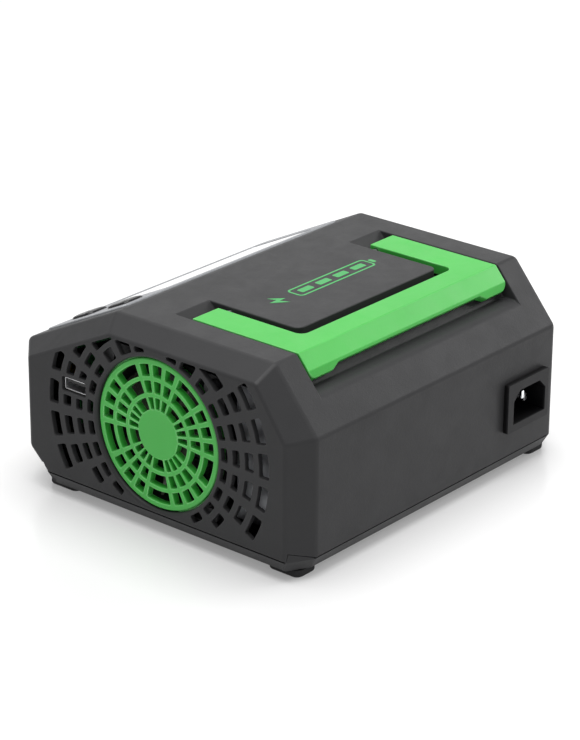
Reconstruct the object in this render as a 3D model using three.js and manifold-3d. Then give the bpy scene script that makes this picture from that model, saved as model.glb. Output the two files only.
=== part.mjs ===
// Bench balance charger for model batteries: wedge-ended housing with a fold-flat carry handle,
// a round fan grille on one end, a mains inlet at the back and a sloping control deck in front.
// Millimetres. +X is the fan end, -Y is the control side, +Y is the mains side, +Z is up.
// The housing stands on its feet at z = 0 and is centred on x = 0, y = 0.
import * as THREE from 'three';
import { mergeVertices } from 'three/addons/utils/BufferGeometryUtils.js';
import Module from 'manifold-3d';

const wasm = await Module();
wasm.setup();

// ---------------------------------------------------------------- driving dimensions
const FIT = 0.3;                 // gap left between pieces that touch on the real object
const WALL = 2.5;                // housing wall
const END_WALL = 2.5;            // flat end panels
const X_BAND = 85.6;             // where the tapered end bands begin
const X_END = 98.5;              // flat end panels
const Y_SIDE = 85.6;             // front and back faces
const Z_SPLIT = 10.5;            // parting line of the two housing halves
const Z_TOP = 93.8;              // top face
const Z_UNDER = 4.0;             // underside of the base tray, held up by the feet
const LIP_INSET = 3.8;           // how far the base lip tapers in at the underside

// side profiles, [y, z], anticlockwise from the front of the parting line
const PROFILE_MID = [
  [-75.5, Z_SPLIT], [85.6, Z_SPLIT], [85.6, 65.5], [62.1, Z_TOP],
  [-29.6, Z_TOP], [-85.6, 66.3], [-85.6, 20.1],
];
const PROFILE_END = [
  [-63.1, Z_SPLIT], [78.4, Z_SPLIT], [78.4, 64.7], [61.9, 88.3],
  [-22.4, 88.3], [-73.2, 63.8], [-73.2, 20.1],
];
const PROFILE_FAR = [
  [-65.4, Z_SPLIT], [75.0, Z_SPLIT], [75.0, 60.5], [57.0, 82.8],
  [-24.0, 82.8], [-75.0, 59.5], [-75.0, 19.9],
];
const PLAN = [
  [X_BAND, Y_SIDE], [-X_BAND, Y_SIDE], [-X_END, 75.0], [-X_END, -65.4],
  [-X_BAND, -75.5], [X_BAND, -75.5], [X_END, -63.1], [X_END, 78.4],
];

// fan, its grille and the ring of vent slots share one centre; angles are in degrees
const FAN_Y = 4.8;
const FAN_Z = 47.9;
const FAR_Y = 0.6;               // middle of the vent pattern on the far panel
const FAR_Z = 44.5;
const GRILLE_R = 35.2;
const GRILLE_FACE = X_END - 1.3;
const SLOT_PITCH = 14.4;
const SLOT_FIRST = 147.6;        // the regular rays run from here round the bottom
const SLOT_RAYS = 18;
const SLOT_ROWS = [
  { r0: 38.0, r1: 41.6, half: 4.7 },
  { r0: 44.6, r1: 48.5, half: 4.7 },
  { r0: 51.6, r1: 56.3, half: 4.6 },
  { r0: 59.5, r1: 64.9, half: 5.3 },
];
// larger slots above the fan, repeated on both sides of its vertical centre line
const TOP_SLOTS = [
  { angle: 103.8, r0: 38.1, r1: 46.0, half: 4.2 },
  { angle: 116.5, r0: 38.1, r1: 48.0, half: 5.2 },
  { angle: 131.2, r0: 38.1, r1: 43.8, half: 4.2 },
  { angle: 131.2, r0: 46.4, r1: 52.5, half: 7.7 },
];

// carry handle and its recess
const ARM_IN = 53.5;
const ARM_OUT = 70.6;
const HANDLE_THICK = 5.2;
const PIVOT_Y = 5.2;
const PIVOT_Z = Z_TOP - 2.8;
const PIVOT_R = 1.5;
const ISLAND_X = 49.5;
const ISLAND_Y = 44.5;
const RECESS_X = 71.5;

// mains inlet block on the back face
const INLET_X = -63.35;
const INLET_Z = 35.35;
const INLET_W = 31.3;
const INLET_H = 24.1;
const INLET_PROUD = 2.9;
const CAVITY_X = INLET_X - 0.9;  // the plug cavity sits slightly off the middle of its flange

// ---------------------------------------------------------------- small geometry helpers
const rad = (deg) => (deg * Math.PI) / 180;

function toSolid(geometry) {
  const bare = geometry.clone();
  bare.deleteAttribute('normal');
  bare.deleteAttribute('uv');
  const welded = mergeVertices(bare, 1e-4);
  const mesh = new wasm.Mesh({
    numProp: 3,
    vertProperties: new Float32Array(welded.attributes.position.array),
    triVerts: new Uint32Array(welded.index.array),
  });
  mesh.merge();
  return new wasm.Manifold(mesh);
}

function toGeometry(solid) {
  const mesh = solid.getMesh();
  const geometry = new THREE.BufferGeometry();
  geometry.setAttribute('position', new THREE.BufferAttribute(new Float32Array(mesh.vertProperties), 3));
  geometry.setIndex(new THREE.BufferAttribute(new Uint32Array(mesh.triVerts), 1));
  return geometry;
}

function prism(points, depth) {
  const shape = new THREE.Shape(points.map(([a, b]) => new THREE.Vector2(a, b)));
  return new THREE.ExtrudeGeometry(shape, { depth, bevelEnabled: false, steps: 1 });
}

// [y, z] outline swept along X
function prismX(points, x0, x1) {
  const m = new THREE.Matrix4().set(0, 0, 1, x0, 1, 0, 0, 0, 0, 1, 0, 0, 0, 0, 0, 1);
  return toSolid(prism(points, x1 - x0).applyMatrix4(m));
}

// [x, z] outline swept along Y
function prismY(points, y0, y1) {
  const m = new THREE.Matrix4().set(1, 0, 0, 0, 0, 0, -1, y1, 0, 1, 0, 0, 0, 0, 0, 1);
  return toSolid(prism(points, y1 - y0).applyMatrix4(m));
}

// [x, y] outline swept along Z
function prismZ(points, z0, z1) {
  return toSolid(prism(points, z1 - z0).translate(0, 0, z0));
}

function box(x0, x1, y0, y1, z0, z1) {
  const g = new THREE.BoxGeometry(x1 - x0, y1 - y0, z1 - z0);
  return toSolid(g.translate((x0 + x1) / 2, (y0 + y1) / 2, (z0 + z1) / 2));
}

function circle(a, b, r, n) {
  const out = [];
  for (let i = 0; i < n; i += 1) {
    const t = (2 * Math.PI * i) / n;
    out.push([a + r * Math.cos(t), b + r * Math.sin(t)]);
  }
  return out;
}

function roundRect(a, b, w, h, r, n = 3) {
  const out = [];
  const corners = [[1, 1, 0], [-1, 1, 90], [-1, -1, 180], [1, -1, 270]];
  for (const [sa, sb, start] of corners) {
    for (let i = 0; i <= n; i += 1) {
      const t = rad(start + (90 * i) / n);
      out.push([a + sa * (w / 2 - r) + r * Math.cos(t), b + sb * (h / 2 - r) + r * Math.sin(t)]);
    }
  }
  return out;
}

function sector(a, b, r0, r1, from, to, n) {
  const out = [];
  for (let i = 0; i <= n; i += 1) {
    const t = rad(from + ((to - from) * i) / n);
    out.push([a + r1 * Math.cos(t), b + r1 * Math.sin(t)]);
  }
  for (let i = n; i >= 0; i -= 1) {
    const t = rad(from + ((to - from) * i) / n);
    out.push([a + r0 * Math.cos(t), b + r0 * Math.sin(t)]);
  }
  return out;
}

// moves every edge of an anticlockwise outline inwards by its own distance
function inset(points, distance) {
  const n = points.length;
  const lines = points.map((p, i) => {
    const q = points[(i + 1) % n];
    const len = Math.hypot(q[0] - p[0], q[1] - p[1]);
    const u = [(q[0] - p[0]) / len, (q[1] - p[1]) / len];
    const d = Array.isArray(distance) ? distance[i] : distance;
    return { p: [p[0] - u[1] * d, p[1] + u[0] * d], u };
  });
  return points.map((_, i) => {
    const a = lines[(i + n - 1) % n];
    const b = lines[i];
    const cross = a.u[0] * b.u[1] - a.u[1] * b.u[0];
    const t = ((b.p[0] - a.p[0]) * b.u[1] - (b.p[1] - a.p[1]) * b.u[0]) / cross;
    return [a.p[0] + t * a.u[0], a.p[1] + t * a.u[1]];
  });
}

// closed skin through a list of equal-length rings of 3-D points
function loft(rings) {
  const n = rings[0].length;
  const position = rings.flat(2);
  const index = [];
  for (let k = 0; k + 1 < rings.length; k += 1) {
    for (let i = 0; i < n; i += 1) {
      const j = (i + 1) % n;
      const a = k * n + i;
      const b = k * n + j;
      index.push(a, b, b + n, a, b + n, a + n);
    }
  }
  const last = (rings.length - 1) * n;
  for (let i = 1; i + 1 < n; i += 1) {
    index.push(0, i + 1, i);
    index.push(last, last + i, last + i + 1);
  }
  const geometry = new THREE.BufferGeometry();
  geometry.setAttribute('position', new THREE.BufferAttribute(new Float32Array(position), 3));
  geometry.setIndex(index);
  return toSolid(geometry);
}

const ringAtX = (points, x) => points.map(([y, z]) => [x, y, z]);
const ringAtZ = (points, z) => points.map(([x, y]) => [x, y, z]);

function union(list) {
  return list.reduce((sum, s) => sum.add(s));
}

// places geometry drawn flat in x, y with its height along +Z onto a tilted deck
function onPlane(origin, across, up, geometry) {
  const e1 = new THREE.Vector3(...across);
  const e2 = new THREE.Vector3(...up);
  const e3 = new THREE.Vector3().crossVectors(e1, e2);
  const m = new THREE.Matrix4().makeBasis(e1, e2, e3).setPosition(new THREE.Vector3(...origin));
  return toSolid(geometry.applyMatrix4(m));
}

// ---------------------------------------------------------------- the control deck (front slope)
const DECK_RUN = Math.hypot(56.0, 27.5);
const DECK_UP = [0, 56.0 / DECK_RUN, 27.5 / DECK_RUN];
const DECK_ORIGIN = [0, -29.6, Z_TOP];

// outline in deck coordinates: x across, y negative down the slope; h is height above the deck
function deckPrism(points, h0, h1) {
  return onPlane(DECK_ORIGIN, [1, 0, 0], DECK_UP, prism(points, h1 - h0).translate(0, 0, h0));
}

// ---------------------------------------------------------------- the back slope, used by the handle
const SLOPE_RUN = Math.hypot(23.5, 28.3);
const SLOPE_DOWN = [23.5 / SLOPE_RUN, -28.3 / SLOPE_RUN];
const SLOPE_OUT = [28.3 / SLOPE_RUN, 23.5 / SLOPE_RUN];
const onBackSlope = (w, h) => [
  62.1 + w * SLOPE_DOWN[0] + h * SLOPE_OUT[0],
  Z_TOP + w * SLOPE_DOWN[1] + h * SLOPE_OUT[1],
];

// ---------------------------------------------------------------- handle recess outline, [y, z]
const RECESS_LINE = [
  [-7.5, Z_TOP],
  [0.2, Z_TOP - 8.0],
  [12.0, Z_TOP - 8.0],
  [13.6, Z_TOP - 6.4],
  [59.1, Z_TOP - 6.4],
  onBackSlope(14.5, -6.4),
  onBackSlope(20.0, 0),
];
const recessCut = prismX(
  [...RECESS_LINE, onBackSlope(20.0, 6), onBackSlope(0, 9), [-7.5, Z_TOP + 6]],
  -RECESS_X,
  RECESS_X,
);
const islandBlock = prismZ(
  roundRect(0, (ISLAND_Y - 40) / 2, 2 * ISLAND_X, ISLAND_Y + 40, 4),
  Z_TOP - 20,
  Z_TOP,
);
const handlePocket = recessCut.subtract(islandBlock);

const LINER_LINE = [
  [-10.6, Z_TOP - 1.0],
  [-1.2, Z_TOP - 10.4],
  [13.2, Z_TOP - 10.4],
  [14.8, Z_TOP - 8.8],
  [57.7, Z_TOP - 8.8],
  onBackSlope(14.8, -8.9),
  onBackSlope(24.0, -2.0),
];
const recessLiner = prismX(
  [...LINER_LINE, onBackSlope(24.0, 6), onBackSlope(0, 9), [-10.6, Z_TOP + 6]],
  -RECESS_X - 2.5,
  RECESS_X + 2.5,
).subtract(box(-ISLAND_X + 2.5, ISLAND_X - 2.5, -60, ISLAND_Y - 2.5, 0, 200));

// ---------------------------------------------------------------- housing halves
function housingLoft(far, mid, end, xFar, xMid, xEnd) {
  return loft([
    ringAtX(far, -xFar),
    ringAtX(mid, -xMid),
    ringAtX(mid, xMid),
    ringAtX(end, xEnd),
  ]);
}

const openBottom = [-8, WALL, WALL, WALL, WALL, WALL, WALL];
const openBottomEnd = [-8, 1.6, 1.6, 1.6, 1.6, 1.6, 1.6];
const outerForm = housingLoft(PROFILE_FAR, PROFILE_MID, PROFILE_END, X_END, X_BAND, X_END);
const innerForm = housingLoft(
  inset(PROFILE_FAR, openBottomEnd),
  inset(PROFILE_MID, openBottom),
  inset(PROFILE_END, openBottomEnd),
  X_END - END_WALL,
  X_BAND - 1,
  X_END - END_WALL,
).subtract(recessLiner);

// corners of the plan where the tray rises into the shell, from the end panel to the long side
const CORNERS = [
  { from: [X_END, 78.4], to: [X_BAND, Y_SIDE] },
  { from: [-X_END, 75.0], to: [-X_BAND, Y_SIDE] },
  { from: [X_END, -63.1], to: [X_BAND, -75.5] },
  { from: [-X_END, -65.4], to: [-X_BAND, -75.5] },
];
const POST_RISE = 3.4;           // height of a corner post above the parting line beside the end panel

// one corner post: levels are [z, distance outside the corner face, start along the face]
function cornerPost(corner, grow, levels, inn) {
  const { from, to } = corner;
  const len = Math.hypot(to[0] - from[0], to[1] - from[1]);
  const u = [(to[0] - from[0]) / len, (to[1] - from[1]) / len];
  let n = [u[1], -u[0]];
  if (n[0] * from[0] + n[1] * from[1] < 0) {
    n = [-n[0], -n[1]];
  }
  const at = (s, d) => [from[0] + u[0] * s + n[0] * d, from[1] + u[1] * s + n[1] * d];
  const rings = levels.map(([z, out, start], k) => {
    const high = k === levels.length - 1 ? z + POST_RISE : z;
    const end = len - 0.8 + grow;
    const s = start - grow;
    return [[...at(s, out), high], [...at(end, out), z], [...at(end, -inn), z], [...at(s, -inn), high]];
  });
  const flip = (u[0] * n[1] - u[1] * n[0]) > 0;
  return loft(flip ? rings.map((ring) => ring.slice().reverse()) : rings);
}

// vent slots round a centre, cut inside a margin of the end panel
function ventSlots(x0, x1, centreY, centreZ, profile) {
  const regular = [];
  for (let k = 0; k < SLOT_RAYS; k += 1) {
    for (const row of SLOT_ROWS) {
      regular.push({ ...row, angle: SLOT_FIRST + SLOT_PITCH * k });
    }
  }
  const mirrored = TOP_SLOTS.map((slot) => ({ ...slot, angle: 180 - slot.angle }));
  const slots = [];
  for (const { angle, r0, r1, half } of [...regular, ...TOP_SLOTS, ...mirrored]) {
    if (centreZ + ((r0 + r1) / 2) * Math.sin(rad(angle)) > Z_SPLIT + 3.6) {
      slots.push(prismX(sector(centreY, centreZ, r0, r1, angle - half, angle + half, 2), x0, x1));
    }
  }
  return union(slots).intersect(prismX(inset(profile, 1.3), x0, x1));
}

const USB_Y = -44.8;
const USB_Z = 57.2;
const usbKeepOut = box(80, 110, USB_Y - 8, USB_Y + 8, USB_Z - 5.2, USB_Z + 5.2);
const usbCut = prismX(roundRect(USB_Y, USB_Z, 14.6, 6.8, 0.8, 1), X_END - 6, X_END + 2);

// straight exhaust louvres in the plain disc of the far end panel
const farLouvres = union([-24, -16, -8, 0, 8, 16, 24].map((dz) => {
  const half = Math.sqrt(31 * 31 - dz * dz);
  return prismX(roundRect(FAR_Y, FAR_Z + dz, 2 * half, 3.6, 1.6, 2), -X_END - 2, -X_END + 6);
}));

const fanBolt = (deg) => [FAN_Y + 42.4 * Math.cos(rad(deg)), FAN_Z + 42.4 * Math.sin(rad(deg))];
const fanHole = prismX(circle(FAN_Y, FAN_Z, GRILLE_R + 0.6, 40), X_END - 6, X_END + 2);

// control deck openings
const BEZEL = { x: 2.75, y: -31, w: 154, h: 54, r: 6 };
const WINDOW = { x: -9, y: -31, w: 104, h: 42, r: 3 };
const KEY_X = 63;
const KEY_Y = [-18, -43];
const KEY_SIZE = 14;
const bezelSeat = deckPrism(roundRect(BEZEL.x, BEZEL.y, BEZEL.w + 0.6, BEZEL.h + 0.6, BEZEL.r), -1.3, 3);
const displayHole = deckPrism(roundRect(WINDOW.x, WINDOW.y, WINDOW.w - 2, WINDOW.h - 2, 2), -8, 3);
const keyHoles = union(KEY_Y.map((y) => deckPrism(roundRect(KEY_X, y, KEY_SIZE + 0.8, KEY_SIZE + 0.8, 4), -8, 3)));

// battery connectors on the front face: [x, z] of the power socket and the balance socket
const CHANNELS = [
  { name: 'a', power: [-62, 42], balance: [-30, 42] },
  { name: 'b', power: [62, 42], balance: [30, 42] },
];
const POWER_FLANGE = [20, 13];
const POWER_BODY = [15.8, 8.2];
const BALANCE_BODY = [22, 7.6];
const FRONT_PROUD = 2.9;

const powerHoles = CHANNELS.map(({ power }) => prismY(
  roundRect(power[0], power[1], POWER_BODY[0] + 0.6, POWER_BODY[1] + 0.6, 1, 1), -Y_SIDE - 2, -Y_SIDE + 6));
const balanceHoles = CHANNELS.map(({ balance }) => prismY(
  roundRect(balance[0], balance[1], BALANCE_BODY[0] + 0.6, BALANCE_BODY[1] + 0.6, 1, 1), -Y_SIDE - 2, -Y_SIDE + 6));
const inletHole = prismY(roundRect(CAVITY_X, INLET_Z, 27.6, 20.2, 1, 1), Y_SIDE - 6, Y_SIDE + 2);

// sockets in the recess side walls for the handle pins
const pinSockets = union([1, -1].map((s) => {
  const x0 = s > 0 ? ISLAND_X - 2.0 : -RECESS_X - 1.8;
  const x1 = s > 0 ? RECESS_X + 1.8 : -ISLAND_X + 2.0;
  return prismX(circle(PIVOT_Y, PIVOT_Z, PIVOT_R + 0.3, 16), x0, x1);
}));

const NOTCH_LEVELS = [[Z_SPLIT - 4, 8, 0.4], [Z_SPLIT + FIT, 8, 1.9]];
const shellNotches = union(CORNERS.map((c) => cornerPost(c, FIT, NOTCH_LEVELS, 5.4)));
const FAN_BOLTS = [45, 135, 225, 315].map(fanBolt);
const fanBosses = union(FAN_BOLTS.map(([y, z]) => {
  return prismX(circle(y, z, 3.6, 16), X_END - 5.4, X_END - END_WALL + 0.2)
    .subtract(prismX(circle(y, z, 1.9, 12), X_END - 6, X_END - END_WALL - 0.6));
}));
const upperShell = outerForm
  .subtract(handlePocket)
  .subtract(innerForm)
  .subtract(ventSlots(X_END - 6, X_END + 2, FAN_Y, FAN_Z, PROFILE_END).subtract(usbKeepOut))
  .subtract(ventSlots(-X_END - 2, -X_END + 6, FAR_Y, FAR_Z, PROFILE_FAR))
  .subtract(farLouvres)
  .subtract(usbCut)
  .subtract(fanHole)
  .add(fanBosses)
  .subtract(bezelSeat)
  .subtract(displayHole)
  .subtract(keyHoles)
  .subtract(union([...powerHoles, ...balanceHoles, inletHole]))
  .subtract(pinSockets)
  .subtract(shellNotches)
  .subtract(box(-120, 120, -120, 120, 0, Z_SPLIT));

// base tray: tapered lip, floor, inner rim that laps inside the shell, posts and standoffs
const TRAY_SCREWS = [[-80, -44], [81, -44], [-80, 54], [81, 54]];
const STANDOFFS = [[-66, -44], [60, -44], [-66, 66], [60, 66]];
const lipTop = inset(PLAN, 0.8);
const lipLow = inset(PLAN, LIP_INSET);
const RIM_GAP = [3.6, 3.6, 3.6, 3.9, 4.3, 3.9, 3.6, 3.6];
const rimOut = inset(PLAN, RIM_GAP);
const rimIn = inset(PLAN, RIM_GAP.map((gap) => gap + 1.8));
const trayForm = loft([ringAtZ(lipLow, Z_UNDER), ringAtZ(lipTop, Z_SPLIT - 1)])
  .subtract(loft([ringAtZ(rimIn, Z_UNDER + 2.4), ringAtZ(rimIn, Z_SPLIT + 2)]))
  .add(loft([ringAtZ(rimOut, Z_UNDER + 1), ringAtZ(rimOut, Z_SPLIT + 3)])
    .subtract(loft([ringAtZ(rimIn, Z_UNDER), ringAtZ(rimIn, Z_SPLIT + 5)])));
const POST_LEVELS = [[Z_UNDER + 1, -3.2, 0.6], [Z_SPLIT - 0.6, -0.05, 0.8], [Z_SPLIT, -0.05, 1.9]];
const posts = union(CORNERS.map((c) => cornerPost(c, 0, POST_LEVELS, 5.0)));
const floorSlots = [];
for (const x of [-40, 40]) {
  for (let i = 0; i < 6; i += 1) {
    floorSlots.push(prismZ(roundRect(x, -30 + i * 8, 34, 3.2, 1.4, 2), Z_UNDER - 1, Z_UNDER + 4));
  }
}
const standoffs = union(STANDOFFS.map(([x, y]) => prismZ(circle(x, y, 3.2, 14), Z_UNDER + 2, Z_UNDER + 7.4)));
const screwTowers = union(TRAY_SCREWS.map(([x, y]) => prismZ(circle(x, y, 4.2, 16), Z_UNDER + 1, Z_UNDER + 6)));
const screwBores = union(TRAY_SCREWS.map(([x, y]) => prismZ(circle(x, y, 1.9, 14), Z_UNDER - 1, Z_UNDER + 8)));
const headBores = union(TRAY_SCREWS.map(([x, y]) => prismZ(circle(x, y, 3.4, 18), Z_UNDER - 1, Z_UNDER + 2.4)));
const baseTray = trayForm
  .add(posts)
  .add(standoffs)
  .add(screwTowers)
  .subtract(screwBores)
  .subtract(headBores)
  .subtract(union(floorSlots));

// ---------------------------------------------------------------- end grille (pressed in from inside)
const grilleOpenings = [];
const GRILLE_ROWS = [[11.7, 17.2], [19.2, 24.9], [26.9, 32.5]];
for (let s = 0; s < 5; s += 1) {
  const base = -90 + 72 * s;
  for (const [r0, r1] of GRILLE_ROWS) {
    const wide = sector(FAN_Y, FAN_Z, r0, r1, base - 12.4, base + 12.4, 4);
    grilleOpenings.push(prismX(wide, X_END - 9, X_END));
    for (const offset of [22, 36, 50]) {
      const narrow = sector(FAN_Y, FAN_Z, r0, r1, base + offset - 4.8, base + offset + 4.8, 2);
      grilleOpenings.push(prismX(narrow, X_END - 9, X_END));
    }
  }
}
const FLANGE_X0 = X_END - 5.4;
const FLANGE_X1 = X_END - END_WALL - FIT;
const fanGrille = prismX(circle(FAN_Y, FAN_Z, GRILLE_R, 40), FLANGE_X0 + 0.6, GRILLE_FACE)
  .add(prismX(circle(FAN_Y, FAN_Z, 36.7, 40), FLANGE_X0, FLANGE_X1))
  .subtract(union(grilleOpenings))
  .subtract(prismX(circle(FAN_Y, FAN_Z, 34, 36), FLANGE_X0 - 1, FLANGE_X0 + 0.6))
  .subtract(box(FLANGE_X0 - 1, FLANGE_X1 + 0.1, FAN_Y - 40, FAN_Y + 40, 0, Z_SPLIT + 3.4));

// ---------------------------------------------------------------- fan
const FAN_X1 = FLANGE_X0 - FIT;
const FAN_X0 = FAN_X1 - 15;
const struts = [30, 150, 270].map((deg) => {
  const g = new THREE.BoxGeometry(2.2, 22, 3.4).translate(FAN_X0 + 1.1, 23.5, 0);
  g.rotateX(rad(deg));
  return toSolid(g.translate(0, FAN_Y, FAN_Z));
});
const fanFrame = prismX(roundRect(FAN_Y, FAN_Z, 70, 70, 5, 3), FAN_X0, FAN_X1)
  .subtract(prismX(circle(FAN_Y, FAN_Z, 33.2, 36), FAN_X0 - 1, FAN_X1 + 1))
  .add(prismX(circle(FAN_Y, FAN_Z, 14.5, 28), FAN_X0, FAN_X0 + 2.2))
  .add(union(struts))
  .subtract(union(FAN_BOLTS.map(([y, z]) => prismX(circle(y, z, 2.3, 12), FAN_X0 - 1, FAN_X1 + 1))));

const bladeParts = [];
for (let i = 0; i < 7; i += 1) {
  const g = new THREE.BoxGeometry(1.4, 20, 13).translate(0, 22, 0);
  g.rotateY(rad(52));
  g.rotateX(rad((360 * i) / 7));
  bladeParts.push(toSolid(g.translate(FAN_X0 + 8.4, FAN_Y, FAN_Z)));
}
const fanRotor = prismX(circle(FAN_Y, FAN_Z, 15, 28), FAN_X0 + 2.6, FAN_X1 - 1)
  .add(union(bladeParts).intersect(prismX(circle(FAN_Y, FAN_Z, 32.2, 36), FAN_X0 + 2.8, FAN_X1 - 1.2)));

// ---------------------------------------------------------------- carry handle
const handleSide = [
  [1.6, Z_TOP - HANDLE_THICK],
  [58.2, Z_TOP - HANDLE_THICK],
  onBackSlope(2.2, -HANDLE_THICK),
  onBackSlope(12.5, -HANDLE_THICK),
  onBackSlope(12.5, -1.7),
  onBackSlope(9.0, 0),
  onBackSlope(0, 0),
  [1.6, Z_TOP],
];
const armWindow = prismZ(roundRect(0, 5, 2 * ARM_IN, 90, 4), Z_TOP - 30, Z_TOP + 10);
const gripNotch = onPlane(
  [0, 62.1, Z_TOP],
  [-1, 0, 0],
  [0, -SLOPE_DOWN[0], -SLOPE_DOWN[1]],
  prism([[-55, -20], [-55, -12.6], [-50.5, -10.2], [50.5, -10.2], [55, -12.6], [55, -20]], 24).translate(0, 0, -12),
);
const carryHandle = prismX(handleSide, -ARM_OUT, ARM_OUT)
  .subtract(armWindow)
  .subtract(gripNotch)
  .subtract(prismX(circle(PIVOT_Y, PIVOT_Z, PIVOT_R + FIT, 16), -ARM_OUT - 1, ARM_OUT + 1));

function handlePin(side) {
  const x0 = side > 0 ? ISLAND_X - 1.7 : -RECESS_X - 1.5;
  const x1 = side > 0 ? RECESS_X + 1.5 : -ISLAND_X + 1.7;
  return prismX(circle(PIVOT_Y, PIVOT_Z, PIVOT_R, 16), x0, x1);
}

// ---------------------------------------------------------------- control deck pieces
const keyClearance = KEY_Y.map((y) => deckPrism(roundRect(KEY_X, y, KEY_SIZE + 0.8, KEY_SIZE + 0.8, 4), -4, 4));
const frontBezel = deckPrism(roundRect(BEZEL.x, BEZEL.y, BEZEL.w, BEZEL.h, BEZEL.r), -1.0, 0.8)
  .subtract(deckPrism(roundRect(WINDOW.x, WINDOW.y, WINDOW.w, WINDOW.h, WINDOW.r), -4, 4))
  .subtract(union(keyClearance));
const displayLens = deckPrism(roundRect(WINDOW.x, WINDOW.y, WINDOW.w - 0.6, WINDOW.h - 0.6, WINDOW.r - 0.3), -1.0, 0.6);
const displayModule = deckPrism(roundRect(WINDOW.x, WINDOW.y, 98, 37, 1, 1), -6.8, -2.9);
const controlBoard = deckPrism(roundRect(BEZEL.x, -31, 146, 50, 2, 1), -12.0, -10.4);

function keyCap(y) {
  const cap = deckPrism(roundRect(KEY_X, y, KEY_SIZE, KEY_SIZE, 3.8), -3.0, 2.3);
  const stem = deckPrism(roundRect(KEY_X, y, 5, 5, 1, 1), -6.6, -2.8);
  return cap.add(stem);
}

function tactSwitch(y) {
  const body = deckPrism(roundRect(KEY_X, y, 8, 8, 0.6, 1), -10.1, -8.9);
  const plunger = deckPrism(circle(KEY_X, y, 1.8, 14), -9.1, -8.4);
  return body.add(plunger);
}

// ---------------------------------------------------------------- connectors
function powerSocket([x, z]) {
  const flange = prismY(roundRect(x, z, POWER_FLANGE[0], POWER_FLANGE[1], 1.6, 2), -Y_SIDE - FRONT_PROUD, -Y_SIDE - FIT);
  const bodyBlock = prismY(roundRect(x, z, POWER_BODY[0], POWER_BODY[1], 0.8, 1), -Y_SIDE - 1, -Y_SIDE + 16);
  const wells = [-3.6, 3.6].map((dx) => prismY(circle(x + dx, z, 2.7, 16), -Y_SIDE - 6, -Y_SIDE + 12));
  const tails = [-3.6, 3.6].map((dx) => prismY(circle(x + dx, z, 1.6, 12), -Y_SIDE + 10, -Y_SIDE + 20));
  return flange.add(bodyBlock).subtract(union(wells)).subtract(union(tails));
}

function powerContact([x, z], dx) {
  const sleeve = prismY(circle(x + dx, z, 2.35, 16), -Y_SIDE - 1.2, -Y_SIDE + 11.6)
    .subtract(prismY(circle(x + dx, z, 1.75, 14), -Y_SIDE - 3, -Y_SIDE + 9));
  return sleeve.add(prismY(circle(x + dx, z, 1.3, 12), -Y_SIDE + 11, -Y_SIDE + 20));
}

function balanceSocket([x, z]) {
  return prismY(roundRect(x, z, BALANCE_BODY[0], BALANCE_BODY[1], 0.6, 1), -Y_SIDE - 0.6, -Y_SIDE + 9)
    .subtract(prismY(roundRect(x, z, BALANCE_BODY[0] - 2, BALANCE_BODY[1] - 2, 0.3, 1), -Y_SIDE - 2, -Y_SIDE + 7.6));
}

// mains inlet: proud rectangular block, deep cavity with two bevelled top corners
const CAVITY = [
  [-12.25, -8.0], [12.25, -8.0], [12.25, 3.4], [7.65, 8.0], [-7.65, 8.0], [-12.25, 3.4],
];
const cavityOutline = CAVITY.map(([x, z]) => [CAVITY_X + x, INLET_Z - 0.45 + z]);
const INLET_PINS = [
  { name: 'live', x: CAVITY_X - 7, z: INLET_Z - 2.6, recess: 4.5 },
  { name: 'neutral', x: CAVITY_X + 7, z: INLET_Z - 2.6, recess: 4.5 },
  { name: 'earth', x: CAVITY_X, z: INLET_Z + 1.8, recess: 1 },
];
const pinSlots = union(INLET_PINS.map(({ x, z }) => prismY(roundRect(x, z, 2.6, 4.6, 0.2, 1), Y_SIDE - 22, Y_SIDE - 10)));
const acInlet = prismY(roundRect(INLET_X, INLET_Z, INLET_W, INLET_H, 0.8, 2), Y_SIDE + FIT, Y_SIDE + INLET_PROUD)
  .add(prismY(roundRect(CAVITY_X, INLET_Z, 27, 19.6, 0.8, 1), Y_SIDE - 17, Y_SIDE + 1))
  .subtract(prismY(cavityOutline, Y_SIDE - 14, Y_SIDE + 6))
  .subtract(pinSlots);

// the earth pin is the longest, so that it makes contact first
function inletPin({ x, z, recess }) {
  return prismY(roundRect(x, z, 2, 4, 0.4, 1), Y_SIDE - 23, Y_SIDE - recess);
}

// USB-A service port: folded metal shell and its tongue
const USB_X1 = X_END - 1.4;
const usbShell = prismX(roundRect(USB_Y, USB_Z, 13.2, 5.7, 0.5, 1), USB_X1 - 14, USB_X1)
  .subtract(prismX(roundRect(USB_Y, USB_Z, 12.4, 4.9, 0.2, 1), USB_X1 - 13.4, USB_X1 + 1));
const usbTongue = box(USB_X1 - 13.1, USB_X1 - 1.2, USB_Y - 5.5, USB_Y + 5.5, USB_Z + 0.2, USB_Z + 1.9);

// ---------------------------------------------------------------- electronics
const BOARD_Z0 = Z_UNDER + 7.4 + FIT;
const BOARD_Z1 = BOARD_Z0 + 1.6;
const ON_BOARD = BOARD_Z1 + FIT;
const mainBoard = prismZ(roundRect(-3, 2, 146, 140, 3, 2), BOARD_Z0, BOARD_Z1);
const insulator = prismZ(roundRect(-3, 12, 108, 96, 2, 1), Z_UNDER + 2.4 + FIT, Z_UNDER + 3.3);

function heatsink(x, y) {
  const fins = 7;
  const pitch = 5;
  const out = [[0, 0], [(fins - 1) * pitch + 2, 0]];
  for (let i = fins - 1; i >= 0; i -= 1) {
    out.push([i * pitch + 2, 22], [i * pitch, 22]);
    if (i > 0) {
      out.push([i * pitch, 4], [(i - 1) * pitch + 2, 4]);
    }
  }
  return prismX(out.map(([a, b]) => [y + a, ON_BOARD + b]), x, x + 56);
}

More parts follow.
